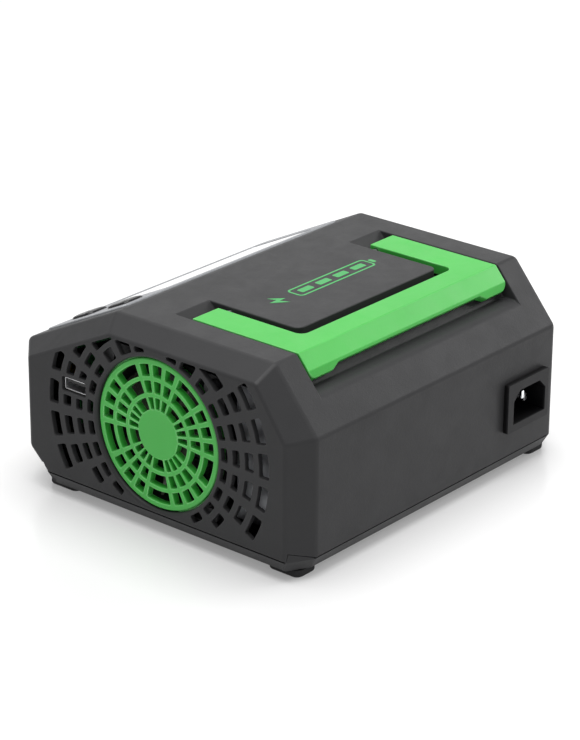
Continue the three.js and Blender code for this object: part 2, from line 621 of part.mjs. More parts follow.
const coreBox = box(-62, -26, -14, 10, ON_BOARD, ON_BOARD + 30);
const coreWindows = union([-54.5, -40.5].map((x) => box(x, x + 7, -20, 20, ON_BOARD + 6, ON_BOARD + 24)));
const transformerCore = coreBox.subtract(coreWindows);
const transformerWinding = box(-54.1, -33.9, -19, 15, ON_BOARD + 6.4, ON_BOARD + 23.6)
  .subtract(box(-47.8, -40.2, -14.4, 10.4, ON_BOARD, ON_BOARD + 40));
const capacitor = (x, y) => prismZ(circle(x, y, 8, 20), ON_BOARD, ON_BOARD + 30);
const inductor = toSolid(new THREE.TorusGeometry(9, 4.4, 10, 22).translate(30, 58, ON_BOARD + 4.5));
const buzzer = prismZ(circle(-6, -40, 6, 20), ON_BOARD, ON_BOARD + 8)
  .subtract(prismZ(circle(-6, -40, 1.2, 10), ON_BOARD + 6, ON_BOARD + 9));
// bent aluminium screen that stands on the tray beside the fan
const SHIELD_X = 88.4;
const SHIELD_Z = Z_UNDER + 2.4 + FIT;
const SHIELD_BEND = [
  [SHIELD_X - 12, SHIELD_Z], [SHIELD_X, SHIELD_Z], [SHIELD_X, 80],
  [SHIELD_X - 1.5, 80], [SHIELD_X - 1.5, SHIELD_Z + 1.5], [SHIELD_X - 12, SHIELD_Z + 1.5],
];
const supplyShield = prismY(SHIELD_BEND, 60.2, 76)
  .add(box(SHIELD_X - 1.5, SHIELD_X, 43, 61, 17, 80))
  .intersect(innerForm.translate(-1, -1, 0));
const frontBoard = box(-76, 76, -Y_SIDE + 20.6, -Y_SIDE + 22.2, 26, 58);

// ---------------------------------------------------------------- fixings and feet
function trayScrew([x, y]) {
  const points = [[0, 0], [2.9, 0], [3.0, 0.4], [3.0, 1.9], [1.5, 1.9], [1.5, 10], [0, 10]];
  const g = new THREE.LatheGeometry(points.map(([r, h]) => new THREE.Vector2(r, h)), 16);
  g.rotateX(Math.PI / 2);
  return toSolid(g.translate(x, y, Z_UNDER + 0.2));
}

function fanScrew([y, z]) {
  const points = [[0, 0], [2.6, 0], [3.2, 0.6], [3.2, 1.8], [1.6, 1.8], [1.6, 18.6], [0, 18.6]];
  const g = new THREE.LatheGeometry(points.map(([r, h]) => new THREE.Vector2(r, h)), 14);
  g.rotateZ(-Math.PI / 2);
  return toSolid(g.translate(FAN_X0 - 2.1, y, z));
}

const FOOT_SIZE = [13.5, 18];
const FEET = [
  { name: 'back_fan_end', x: 84.4, y: 71 },
  { name: 'back_far_end', x: -84.0, y: 71 },
  { name: 'front_fan_end', x: 84.4, y: -61 },
  { name: 'front_far_end', x: -84.0, y: -61 },
];

function foot({ x, y }) {
  return loft([
    ringAtZ(roundRect(x, y, FOOT_SIZE[0] - 1.4, FOOT_SIZE[1] - 1.4, 3.0), 0),
    ringAtZ(roundRect(x, y, FOOT_SIZE[0], FOOT_SIZE[1], 3.6), 1.0),
    ringAtZ(roundRect(x, y, FOOT_SIZE[0], FOOT_SIZE[1], 3.6), Z_UNDER - FIT),
  ]);
}

// ---------------------------------------------------------------- assembly
const group = new THREE.Group();
group.name = 'balance_charger';

function put(name, solid, color, roughness, metalness) {
  const material = new THREE.MeshStandardMaterial({ color, roughness, metalness });
  const mesh = new THREE.Mesh(toGeometry(solid), material);
  mesh.name = name;
  group.add(mesh);
}

const GREY = 0x3c3c3d;
const BLACK = 0x161617;
const GREEN = 0x35c440;
const SILVER = 0xc9cccf;
const STEEL = 0x9a9ca0;
const BRASS = 0xc9a04a;
const BOARD = 0x14532f;

put('upper_shell', upperShell, GREY, 0.62, 0);
put('base_tray', baseTray, GREY, 0.66, 0);
put('fan_grille', fanGrille, GREEN, 0.5, 0);
put('carry_handle', carryHandle, GREEN, 0.45, 0);
put('handle_pin_fan_end', handlePin(1), STEEL, 0.35, 1);
put('handle_pin_far_end', handlePin(-1), STEEL, 0.35, 1);
put('front_bezel', frontBezel, SILVER, 0.35, 0.6);
put('display_lens', displayLens, BLACK, 0.08, 0);
put('display_module', displayModule, 0x8f9498, 0.5, 0.4);
put('control_board', controlBoard, BOARD, 0.6, 0);
KEY_Y.forEach((y, i) => {
  put(`key_${i + 1}`, keyCap(y), BLACK, 0.5, 0);
  put(`key_switch_${i + 1}`, tactSwitch(y), BLACK, 0.4, 0.2);
});
put('fan_frame', fanFrame, BLACK, 0.55, 0);
put('fan_rotor', fanRotor, 0x6c6f72, 0.5, 0);
FAN_BOLTS.forEach((at, i) => put(`fan_screw_${i + 1}`, fanScrew(at), STEEL, 0.35, 1));
put('usb_shell', usbShell, SILVER, 0.25, 1);
put('usb_tongue', usbTongue, BLACK, 0.5, 0);
put('ac_inlet', acInlet, 0x303031, 0.55, 0);
INLET_PINS.forEach((pin) => put(`inlet_pin_${pin.name}`, inletPin(pin), SILVER, 0.25, 1));
for (const channel of CHANNELS) {
  put(`power_socket_${channel.name}`, powerSocket(channel.power), 0xd9a520, 0.5, 0);
  put(`power_contact_${channel.name}_plus`, powerContact(channel.power, 3.6), BRASS, 0.25, 1);
  put(`power_contact_${channel.name}_minus`, powerContact(channel.power, -3.6), BRASS, 0.25, 1);
  put(`balance_socket_${channel.name}`, balanceSocket(channel.balance), 0xe6e2d8, 0.5, 0);
}
put('supply_shield', supplyShield, SILVER, 0.45, 0.8);
put('front_board', frontBoard, BOARD, 0.6, 0);
put('main_board', mainBoard, BOARD, 0.6, 0);
put('insulating_sheet', insulator, 0xd8d8d0, 0.7, 0);
put('transformer_core', transformerCore, 0x2a2a2c, 0.6, 0.2);
put('transformer_winding', transformerWinding, 0xb8902c, 0.6, 0);
put('heatsink_1', heatsink(-8, -24), STEEL, 0.4, 0.9);
put('heatsink_2', heatsink(-8, 12), STEEL, 0.4, 0.9);
put('capacitor_1', capacitor(-36, 34), 0x1d3a6e, 0.4, 0);
put('capacitor_2', capacitor(-18, 34), 0x1d3a6e, 0.4, 0);
put('output_inductor', inductor, 0x9a5a2a, 0.5, 0.3);
put('buzzer', buzzer, BLACK, 0.5, 0);
TRAY_SCREWS.forEach((at, i) => put(`tray_screw_${i + 1}`, trayScrew(at), STEEL, 0.35, 1));
FEET.forEach((f) => put(`foot_${f.name}`, foot(f), 0x1c1c1d, 0.9, 0));

export default group;
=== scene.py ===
"""Bench balance charger: housing halves, grille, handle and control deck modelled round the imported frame."""

import math

import bmesh
import bpy
from mathutils import Matrix, Vector


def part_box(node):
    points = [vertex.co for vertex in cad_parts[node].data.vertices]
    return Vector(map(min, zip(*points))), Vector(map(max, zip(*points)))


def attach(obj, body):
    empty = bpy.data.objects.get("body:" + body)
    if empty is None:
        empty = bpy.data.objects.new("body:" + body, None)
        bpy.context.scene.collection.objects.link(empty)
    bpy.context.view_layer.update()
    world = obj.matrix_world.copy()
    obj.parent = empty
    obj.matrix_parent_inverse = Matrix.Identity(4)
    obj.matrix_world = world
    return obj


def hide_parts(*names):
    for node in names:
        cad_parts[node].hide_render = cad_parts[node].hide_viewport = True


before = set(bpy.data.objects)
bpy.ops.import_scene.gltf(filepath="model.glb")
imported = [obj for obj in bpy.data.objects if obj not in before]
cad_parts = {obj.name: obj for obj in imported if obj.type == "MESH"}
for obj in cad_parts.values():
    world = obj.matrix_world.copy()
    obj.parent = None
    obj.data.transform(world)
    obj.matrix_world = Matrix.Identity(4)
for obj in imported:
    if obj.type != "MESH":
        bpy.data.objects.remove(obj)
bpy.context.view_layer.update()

MM = 0.001

# ---------------------------------------------------------------- places taken from the frame, in millimetres


def box_mm(node):
    low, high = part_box(node)
    return [c / MM for c in low], [c / MM for c in high]


def middle(node):
    low, high = box_mm(node)
    return [(a + b) / 2 for a, b in zip(low, high)]


SHELL_LOW, (X_END, Y_SIDE, Z_TOP) = box_mm("upper_shell")
Z_SPLIT = SHELL_LOW[2]
Z_UNDER = box_mm("base_tray")[0][2]
FAN_Y, FAN_Z = middle("fan_frame")[1:]
GRILLE_FACE = box_mm("fan_grille")[1][0]
INLET = middle("ac_inlet")
CAVITY_X = middle("inlet_pin_earth")[0]
USB = middle("usb_shell")
POWER = [middle("power_socket_a"), middle("power_socket_b")]
BALANCE = [middle("balance_socket_a"), middle("balance_socket_b")]

# ---------------------------------------------------------------- dimensions, in millimetres

# the deck falls from its top line to the front; the back slope falls from its top line to the back
DECK_TOP_Y, DECK_FOOT_Z, DECK_DEPTH = -29.6, 66.3, 56.0
SLOPE_TOP_Y, SLOPE_FOOT_Z, SLOPE_DEPTH, SLOPE_DROP = 62.1, 65.5, 23.5, 28.3
CHIN_Y = -75.5          # front line of the parting plane, under the cut-back lower front edge

# (y, z) outlines across the housing: at the bands beside the middle, at the fan end and at the far end
X_BAND = 85.6
PROFILE_MID = [
    (CHIN_Y, Z_SPLIT), (Y_SIDE, Z_SPLIT), (Y_SIDE, SLOPE_FOOT_Z), (SLOPE_TOP_Y, Z_TOP),
    (DECK_TOP_Y, Z_TOP), (-Y_SIDE, DECK_FOOT_Z), (-Y_SIDE, 20.1),
]
PROFILE_END = [
    (-63.1, Z_SPLIT), (78.4, Z_SPLIT), (78.4, 64.7), (61.9, 88.3),
    (-22.4, 88.3), (-73.2, 63.8), (-73.2, 20.1),
]
PROFILE_FAR = [
    (-65.4, Z_SPLIT), (75.0, Z_SPLIT), (75.0, 60.5), (57.0, 82.8),
    (-24.0, 82.8), (-75.0, 59.5), (-75.0, 19.9),
]
PLAN = [
    (X_BAND, Y_SIDE), (-X_BAND, Y_SIDE), (-X_END, PROFILE_FAR[1][0]), (-X_END, PROFILE_FAR[0][0]),
    (-X_BAND, CHIN_Y), (X_BAND, CHIN_Y), (X_END, PROFILE_END[0][0]), (X_END, PROFILE_END[1][0]),
]
CORNERS = [(PLAN[7], PLAN[0]), (PLAN[2], PLAN[1]), (PLAN[6], PLAN[5]), (PLAN[3], PLAN[4])]
POST_RISE = 3.4         # slant of a corner post's top
WALL = 2.5
CREASE_R = 1.3          # rounding of the housing's creases
RIM_R = 0.55            # rounding of the handle pocket's rim
RAMP_R = 2.6            # rounding where the pocket's ramp runs out on the back slope
SLOT_R = 0.4            # rounding of the lips of the vent slots
GRILLE_R = 35.2
FLANGE_R = 36.1         # the grille's flange, clamped behind the end panel
FLANGE_X0, FLANGE_X1 = X_END - 5.4, X_END - WALL - 0.3

# vent slots lie on rays round the fan: rows are (inner radius, outer radius, half angle in degrees)
SLOT_PITCH, SLOT_FIRST, SLOT_RAYS = 14.4, 147.6, 18
SLOT_CORNER = 0.8
SLOT_ROWS = [(38.0, 41.6, 4.7), (44.6, 48.5, 4.7), (51.6, 56.3, 4.6), (59.5, 64.9, 5.3)]
TOP_SLOTS = [
    (103.8, 38.1, 46.0, 4.2), (116.5, 38.1, 48.0, 5.2), (131.2, 38.1, 43.8, 4.2), (131.2, 46.4, 52.5, 7.7),
]
FAR_CENTRE = (0.6, 44.5)
LOUVRE_PITCH, LOUVRE_ROWS, LOUVRE_REACH = 8, 3, 31
GRILLE_ROWS = [(11.7, 17.2), (19.2, 24.9), (26.9, 32.5)]
SPOKE_SECTORS = 5

BOLT_CIRCLE_R, BOSS_R, SCREW_BORE_R = 42.4, 3.6, 1.9
BOLTS = [
    (FAN_Y + BOLT_CIRCLE_R * math.cos(math.radians(d)), FAN_Z + BOLT_CIRCLE_R * math.sin(math.radians(d)))
    for d in (45, 135, 225, 315)
]

ARM_IN, ARM_OUT = 53.5, 70.6
HANDLE_THICK = 5.2
PIVOT = (5.2, Z_TOP - 2.8, 1.5)      # y, z and the pin's radius
PIN_CLEARANCE = 0.3
ISLAND_X, ISLAND_Y = 49.5, 44.5
RECESS_X = 71.5
BEZEL = (2.75, -31.0, 154.0, 54.0)   # centre across and down the deck, width, height
WINDOW = (-9.0, -31.0, 104.0, 42.0)
BEZEL_PROUD = 0.8
KEY_X, KEY_Y, KEY_SIZE, KEY_HOLE = 63.0, (-18.0, -43.0), 14.0, 14.8

# ---------------------------------------------------------------- outlines: lists of (u, v, corner radius)


def with_radius(points, r):
    return [(u, v, r) for u, v in points]


def rect(u, v, w, h, r):
    a, b = w / 2, h / 2
    return [(u - a, v - b, r), (u + a, v - b, r), (u + a, v + b, r), (u - a, v + b, r)]


def circle(u, v, r, n=64):
    turn = 2 * math.pi / n
    return [(u + r * math.cos(i * turn), v + r * math.sin(i * turn), 0.0) for i in range(n)]


def sector(u, v, r0, r1, start, end, corner, n=4):
    out = []
    for radius, order in ((r1, range(n + 1)), (r0, range(n, -1, -1))):
        for i in order:
            t = math.radians(start + (end - start) * i / n)
            r = corner if i in (0, n) else 0.0
            out.append((u + radius * math.cos(t), v + radius * math.sin(t), r))
    return out


def inset(poly, distance):
    """Moves every edge of an anticlockwise outline inwards; distance may be a list, one for each edge."""
    n = len(poly)
    lines = []
    for i, p in enumerate(poly):
        q = poly[(i + 1) % n]
        d = distance[i] if isinstance(distance, (list, tuple)) else distance
        size = math.hypot(q[0] - p[0], q[1] - p[1])
        ux, uy = (q[0] - p[0]) / size, (q[1] - p[1]) / size
        lines.append((p[0] - uy * d, p[1] + ux * d, ux, uy))
    out = []
    for i, p in enumerate(poly):
        ax, ay, au, av = lines[i - 1]
        bx, by, bu, bv = lines[i]
        cross = au * bv - av * bu
        if abs(cross) < 1e-6:
            out.append((bx, by) + tuple(p[2:]))
            continue
        t = ((bx - ax) * bv - (by - ay) * bu) / cross
        out.append((ax + t * au, ay + t * av) + tuple(p[2:]))
    return out


def rounded(poly, grow=0.0, n=4):
    """The outline grown by that much, with its corners turned into arcs of their radius."""
    big = inset(poly, -grow)
    out = []
    for i, (u, v, r) in enumerate(big):
        if poly[i][2] <= 0:
            out.append((u, v))
            continue
        p, q = Vector(big[i - 1][:2]), Vector(big[(i + 1) % len(big)][:2])
        c = Vector((u, v))
        a, b = (c - p), (q - c)
        la, lb = a.length, b.length
        a.normalize()
        b.normalize()
        turn = math.atan2(a.x * b.y - a.y * b.x, a.dot(b))
        if abs(turn) < 0.02:
            out.extend(tuple(c + b * 0.001 * k) for k in range(n + 1))
            continue
        want = max(r + (grow if turn > 0 else -grow), 0.03)
        half = math.tan(abs(turn) / 2)
        cut = min(want * half, 0.48 * la, 0.48 * lb)
        radius = cut / half
        side = 1 if turn > 0 else -1
        centre = c - a * cut + Vector((-a.y, a.x)) * radius * side
        first = math.atan2(-a.x * side, a.y * side)
        for k in range(n + 1):
            t = first + turn * k / n
            out.append((centre.x + radius * math.cos(t), centre.y + radius * math.sin(t)))
    return out


def clipped(poly, window, corner):
    """The part of an outline inside a convex anticlockwise window; new corners get the given radius."""
    for i, p in enumerate(window):
        q = window[(i + 1) % len(window)]
        nu, nv = -(q[1] - p[1]), q[0] - p[0]
        dist = [(a[0] - p[0]) * nu + (a[1] - p[1]) * nv for a in poly]
        out = []
        for k, a in enumerate(poly):
            j = (k + 1) % len(poly)
            if dist[k] >= 0:
                out.append(a)
            if (dist[k] >= 0) != (dist[j] >= 0):
                t = dist[k] / (dist[k] - dist[j])
                out.append((a[0] + t * (poly[j][0] - a[0]), a[1] + t * (poly[j][1] - a[1]), corner))
        poly = out
        if len(poly) < 3:
            return []
    tidy = []
    for a in poly:
        if not tidy or math.hypot(a[0] - tidy[-1][0], a[1] - tidy[-1][1]) > 0.25:
            tidy.append(a)
    if len(tidy) > 2 and math.hypot(tidy[0][0] - tidy[-1][0], tidy[0][1] - tidy[-1][1]) < 0.25:
        tidy.pop()
    return tidy if len(tidy) > 2 and area(tidy) > 1.2 else []


def area(poly):
    return sum(p[0] * q[1] - q[0] * p[1] for p, q in zip(poly, poly[1:] + poly[:1])) / 2


# ---------------------------------------------------------------- where a flat outline is stood up


def end_face(side):
    """u is y, v is z and h is outwards from the flat end panel."""
    return lambda u, v, h: (side * (X_END + h), u, v)


def along_x(u, v, h):
    return (h, u, v)


def back_face(u, v, h):
    return (u, Y_SIDE + h, v)


def front_face(u, v, h):
    return (u, -Y_SIDE - h, v)


def upright(u, v, h):
    return (u, v, h)


DECK_RUN = math.hypot(DECK_DEPTH, Z_TOP - DECK_FOOT_Z)
DECK_COS, DECK_SIN = DECK_DEPTH / DECK_RUN, (Z_TOP - DECK_FOOT_Z) / DECK_RUN


def deck(u, v, h):
    """v is negative down the sloping front deck and h is outwards from it."""
    return (u, DECK_TOP_Y + v * DECK_COS - h * DECK_SIN, Z_TOP + v * DECK_SIN + h * DECK_COS)


SLOPE_RUN = math.hypot(SLOPE_DEPTH, SLOPE_DROP)
SLOPE_COS, SLOPE_SIN = SLOPE_DEPTH / SLOPE_RUN, SLOPE_DROP / SLOPE_RUN


def back_slope(u, w, h):
    """w is down the back slope and h is outwards from it."""
    return (u, SLOPE_TOP_Y + w * SLOPE_COS + h * SLOPE_SIN, Z_TOP - w * SLOPE_SIN + h * SLOPE_COS)


# ---------------------------------------------------------------- meshes, in millimetres until finished
FLAT_WITHIN = 0.3       # degrees: faces this near to one plane are joined
LIP_CLEAR = 1.5         # how far a cutter stands past the surface
BEVEL_FROM = 20         # degrees: edges that turn more than this are rounded


def loft(rings):
    """A closed skin through rings of as many points each."""
    bm = bmesh.new()
    rows = [[bm.verts.new(p) for p in ring] for ring in rings]
    n = len(rings[0])
    for a, b in zip(rows, rows[1:]):
        for i in range(n):
            j = (i + 1) % n
            bm.faces.new((a[i], a[j], b[j], b[i]))
    bm.faces.new(rows[0][::-1])
    bm.faces.new(rows[-1])
    bmesh.ops.recalc_face_normals(bm, faces=bm.faces)
    return to_mesh(bm)


def to_mesh(bm):
    mesh = bpy.data.meshes.new("part")
    bm.to_mesh(mesh)
    bm.free()
    return mesh


def prism(poly, place, h0, h1, arc=4):
    flat = rounded(poly, 0.0, arc)
    return loft([[place(u, v, h) for u, v in flat] for h in (h0, h1)])


def plate(poly, place, levels, arc=5):
    """A closed solid whose outline grows by its own amount at each height: levels are (height, growth)."""
    return loft([[place(u, v, h) for u, v in rounded(poly, grow, arc)] for h, grow in levels])


def lip(r, deep, steps=4):
    """Levels of a hole whose edge is rounded by r where it meets the surface at height 0."""
    out = [(-deep, 0.0), (-r, 0.0)]
    for k in range(1, steps + 1):
        t = math.pi / 2 * k / steps
        out.append((-r + r * math.sin(t) + (0.004 if k == steps else 0), r * (1 - math.cos(t))))
    out.append((LIP_CLEAR, r))
    return out


def crown(h0, h1, r, steps=4, r_low=0.0):
    """Levels of a plate from h0 to h1 whose top edge is rounded by r, and its low edge by r_low."""
    out = []
    if r_low > 0:
        for k in range(steps + 1):
            t = math.pi / 2 * k / steps
            out.append((h0 + r_low - r_low * math.cos(t), -r_low + r_low * math.sin(t)))
    else:
        out.append((h0, 0.0))
    for k in range(steps + 1):
        t = math.pi / 2 * k / steps
        out.append((h1 - r + r * math.sin(t), -r + r * math.cos(t)))
    return out


def joined(meshes):
    bm = bmesh.new()
    for mesh in meshes:
        bm.from_mesh(mesh)
        bpy.data.meshes.remove(mesh)
    return to_mesh(bm)


def evaluated(obj):
    graph = bpy.context.evaluated_depsgraph_get()
    mesh = bpy.data.meshes.new_from_object(obj.evaluated_get(graph), depsgraph=graph)
    old = obj.data
    bpy.data.objects.remove(obj)
    bpy.data.meshes.remove(old)
    return mesh


def temp(mesh):
    obj = bpy.data.objects.new("temp", mesh)
    bpy.context.scene.collection.objects.link(obj)
    return obj


def boolean(mesh, other, operation="DIFFERENCE", solver="MANIFOLD"):
    """The mesh cut by, joined with or kept inside another; both are used up."""
    a, b = temp(mesh), temp(other)
    mod = a.modifiers.new("cut", "BOOLEAN")
    mod.operation, mod.solver, mod.object = operation, solver, b
    bpy.context.view_layer.update()
    out = evaluated(a)
    bpy.data.objects.remove(b)
    if not len(out.polygons):
        raise RuntimeError(f"a {operation} left nothing")
    return out


def flatten(mesh):
    """Joins faces that lie in one plane, so that a bevel meets clean edges."""
    bm = bmesh.new()
    bm.from_mesh(mesh)
    bmesh.ops.remove_doubles(bm, verts=bm.verts, dist=1e-4)
    bmesh.ops.dissolve_limit(bm, angle_limit=math.radians(FLAT_WITHIN), verts=bm.verts, edges=bm.edges)
    bpy.data.meshes.remove(mesh)
    return to_mesh(bm)


def bevelled(mesh, radius_of, steps=4):
    """Rounds each edge that turns enough by radius_of(middle of the edge, turn is outward, the edge)."""
    mesh = flatten(mesh)
    bm = bmesh.new()
    bm.from_mesh(mesh)
    weight = bm.edges.layers.float.new("bevel_weight_edge")
    widths = {}
    for e in bm.edges:
        if len(e.link_faces) == 2 and e.calc_face_angle(0) > math.radians(BEVEL_FROM):
            mid = (e.verts[0].co + e.verts[1].co) / 2
            widths[e] = radius_of(mid, e.calc_face_angle_signed(0) > 0, e)
    widest = max(widths.values())
    for e, w in widths.items():
        e[weight] = max(w, 0.0) / widest
    bpy.data.meshes.remove(mesh)
    obj = temp(to_mesh(bm))
    mod = obj.modifiers.new("round", "BEVEL")
    mod.limit_method, mod.width, mod.segments = "WEIGHT", widest, steps
    mod.use_clamp_overlap = True
    mod.miter_inner = "MITER_SHARP"
    return evaluated(obj)


_smooth = {}


def smooth_modifier(obj, degrees=32):
    """Shades smooth across edges blunter than that, and lets large faces rule the normals."""
    if degrees not in _smooth:
        tree = bpy.data.node_groups.new(f"smooth_by_angle_{degrees}", "GeometryNodeTree")
        tree.interface.new_socket("Geometry", in_out="INPUT", socket_type="NodeSocketGeometry")
        tree.interface.new_socket("Geometry", in_out="OUTPUT", socket_type="NodeSocketGeometry")
        start, end = tree.nodes.new("NodeGroupInput"), tree.nodes.new("NodeGroupOutput")
        faces = tree.nodes.new("GeometryNodeSetShadeSmooth")
        edges = tree.nodes.new("GeometryNodeSetShadeSmooth")
        edges.domain = "EDGE"
        angle = tree.nodes.new("GeometryNodeInputMeshEdgeAngle")
        sharp = tree.nodes.new("FunctionNodeCompare")
        sharp.data_type, sharp.operation = "FLOAT", "GREATER_THAN"
        sharp.inputs[1].default_value = math.radians(degrees)
        edges.inputs["Shade Smooth"].default_value = False
        tree.links.new(start.outputs[0], faces.inputs["Geometry"])
        tree.links.new(faces.outputs[0], edges.inputs["Geometry"])
        tree.links.new(angle.outputs[0], sharp.inputs[0])
        tree.links.new(sharp.outputs[0], edges.inputs["Selection"])
        tree.links.new(edges.outputs[0], end.inputs[0])
        _smooth[degrees] = tree
    obj.modifiers.new("smooth", "NODES").node_group = _smooth[degrees]
    mod = obj.modifiers.new("normals", "WEIGHTED_NORMAL")
    mod.keep_sharp, mod.mode, mod.weight = True, "FACE_AREA", 50


def piece(name, mesh, body, material, replaces=()):
    """Finishes a mesh as a named piece of the object."""
    mesh.transform(Matrix.Scale(MM, 4))
    mesh.name = name
    obj = bpy.data.objects.new(name, mesh)
    bpy.context.scene.collection.objects.link(obj)
    mesh.materials.clear()
    mesh.materials.append(material)
    smooth_modifier(obj)
    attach(obj, body)
    if replaces:
        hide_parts(*replaces)


def keep(node, material, width=0.0):
    """A CAD node stays, with its edges rounded by that many millimetres and a better finish."""
    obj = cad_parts[node]
    if width > 0:
        weld = obj.modifiers.new("weld", "WELD")
        weld.merge_threshold = 1e-6
        flat = obj.modifiers.new("flat", "DECIMATE")
        flat.decimate_type, flat.angle_limit = "DISSOLVE", math.radians(1)
        mod = obj.modifiers.new("round", "BEVEL")
        mod.limit_method, mod.angle_limit = "ANGLE", math.radians(30)
        mod.width, mod.segments = width * MM, 2
    smooth_modifier(obj, 35)
    for s in obj.material_slots:
        s.material = material


# ---------------------------------------------------------------- finishes


class Finish:
    """A small helper for node materials: a call adds a node, and sockets given by name are set or linked."""

    def __init__(self, name):
        self.mat = bpy.data.materials.new(name)
        self.mat.use_nodes = True
        self.nodes = self.mat.node_tree.nodes
        self.links = self.mat.node_tree.links
        self.bsdf = self.nodes["Principled BSDF"]
        self.place = self.add("TexCoord").outputs["Object"]

    def add(self, kind, inputs=None, **props):
        node = self.nodes.new(f"ShaderNode{kind}")
        for k, v in props.items():
            setattr(node, k, v)
        for k, v in (inputs or {}).items():
            self.put(node.inputs[k], v)
        return node

    def put(self, socket, value):
        if isinstance(value, bpy.types.NodeSocket):
            self.links.new(value, socket)
        else:
            socket.default_value = value

    def noise(self, scale, detail=2.0, rough=0.5, stretch=None, distortion=0.0):
        at = self.place
        if stretch:
            at = self.add("Mapping", {"Vector": at, "Scale": stretch}).outputs[0]
        return self.add("TexNoise", {
            "Vector": at, "Scale": scale, "Detail": detail, "Roughness": rough, "Distortion": distortion,
        }).outputs["Fac"]

    def ramp(self, value, a, b, low=0.0, high=1.0):
        return self.add("MapRange", {
            "Value": value, "From Min": a, "From Max": b, "To Min": low, "To Max": high,
        }).outputs["Result"]

    def math(self, operation, a, b):
        return self.add("Math", {0: a, 1: b}, operation=operation).outputs[0]

    def mix(self, factor, a, b):
        node = self.add("Mix", data_type="RGBA")
        for i, value in ((0, factor), (6, a), (7, b)):
            self.put(node.inputs[i], value)
        return node.outputs[2]

    def bump(self, height, distance, strength):
        return self.add("Bump", {"Height": height, "Distance": distance, "Strength": strength}).outputs[0]

    def edges(self, radius):
        """1 on rounded-off outer edges, 0 on flats."""
        soft = self.add("Bevel", {"Radius": radius}, samples=4).outputs[0]
        flat = self.add("NewGeometry").outputs["Normal"]
        dot = self.add("VectorMath", {0: soft, 1: flat}, operation="DOT_PRODUCT").outputs["Value"]
        return self.ramp(dot, 0.995, 0.9)

    def set(self, **values):
        names = {
            "color": "Base Color", "rough": "Roughness", "metal": "Metallic",
            "specular": "Specular IOR Level", "coat": "Coat Weight", "coat_rough": "Coat Roughness",
            "normal": "Normal", "sub": "Subsurface Weight", "sub_scale": "Subsurface Scale",
        }
        for k, v in values.items():
            self.put(self.bsdf.inputs[names[k]], v)
        return self.mat


def linear(*rgb):
    """Display values 0 to 255 as linear light."""
    return tuple(((c / 255) / 12.92 if c <= 10 else ((c / 255 + 0.055) / 1.055) ** 2.4) for c in rgb) + (1.0,)


def plastic(name, color, rough=0.5, grain=0.0006, depth=0.00004, vary=0.12, wear_and_highlight=0.25, specular=0.5, sub=0.0,
            edge=None):
    """Moulded plastic with a spark-eroded grain, slow colour drift, handling sheen, and edges painted paler:
    partly edge wear, partly a painted highlight.
    """
    f = Finish(name)
    fine = f.noise(1 / grain, 3, 0.6)
    drift = f.noise(38, 4, 0.55)
    smudge = f.noise(90, 3, 0.6, distortion=0.4)
    pale = edge or tuple(min(1.0, c * 1.9 + 0.02) for c in color[:3]) + (1.0,)
    dark = tuple(c * (1 - vary) for c in color[:3]) + (1.0,)
    light = tuple(min(1.0, c * (1 + vary)) for c in color[:3]) + (1.0,)
    base = f.mix(f.ramp(drift, 0.3, 0.7), dark, light)
    speck = f.mix(f.ramp(fine, 0.35, 0.75, 0.0, 0.5), base, light)
    # edges painted paler towards the pale colour: partly rubbed wear, partly a painted highlight along the
    # rounded edges
    edge_wear_and_highlight = f.math("MULTIPLY", f.edges(0.0009), f.ramp(smudge, 0.35, 0.7, 0.25 * wear_and_highlight, wear_and_highlight))
    shade = f.mix(edge_wear_and_highlight, speck, pale)
    roughness = f.math(
        "ADD", f.ramp(smudge, 0.3, 0.75, rough - 0.05, rough + 0.06), f.ramp(fine, 0.3, 0.7, -0.03, 0.03))
    height = f.math("ADD", fine, f.math("MULTIPLY", f.noise(0.35 / grain, 2), 0.6))
    return f.set(color=shade, rough=roughness, specular=specular, normal=f.bump(height, depth, 0.8),
                 sub=sub, sub_scale=0.002)


def metal(name, color, rough, grain, scale=900.0):
    """Machined or stamped metal: fine lay, uneven polish and dull spots."""
    f = Finish(name)
    lay = f.noise(scale, 2, 0.5, stretch=grain)
    cloud = f.noise(160, 4, 0.6)
    dull = tuple(c * 0.6 for c in color[:3]) + (1.0,)
    shade = f.mix(f.ramp(cloud, 0.45, 0.8, 0.0, 0.7), color, dull)
    roughness = f.math(
        "ADD", f.ramp(cloud, 0.3, 0.8, rough - 0.06, rough + 0.14), f.ramp(lay, 0.3, 0.7, -0.04, 0.04))
    return f.set(color=shade, rough=roughness, metal=1.0, normal=f.bump(lay, 0.00001, 0.6))


def inlet_finish():
    """Satin moulding whose colour is painted near black down in the plug cavity, as painted shade where little
    light reaches.
    """
    f = Finish("inlet_plastic")
    fine = f.noise(2000, 3, 0.6)
    smudge = f.noise(90, 3, 0.6, distortion=0.4)
    depth = f.add("SeparateXYZ", {0: f.place}).outputs["Y"]
    # painted shade: deeper than the flange the colour turns near black
    inside = f.ramp(depth, (Y_SIDE + 2.6) * MM, (Y_SIDE + 1.6) * MM)
    face = f.mix(f.ramp(smudge, 0.3, 0.7), linear(36, 36, 37), linear(43, 43, 44))
    return f.set(color=f.mix(inside, face, linear(14, 14, 15)), rough=f.ramp(smudge, 0.3, 0.75, 0.42, 0.54),
                 specular=0.14, normal=f.bump(fine, 0.00004, 0.8))


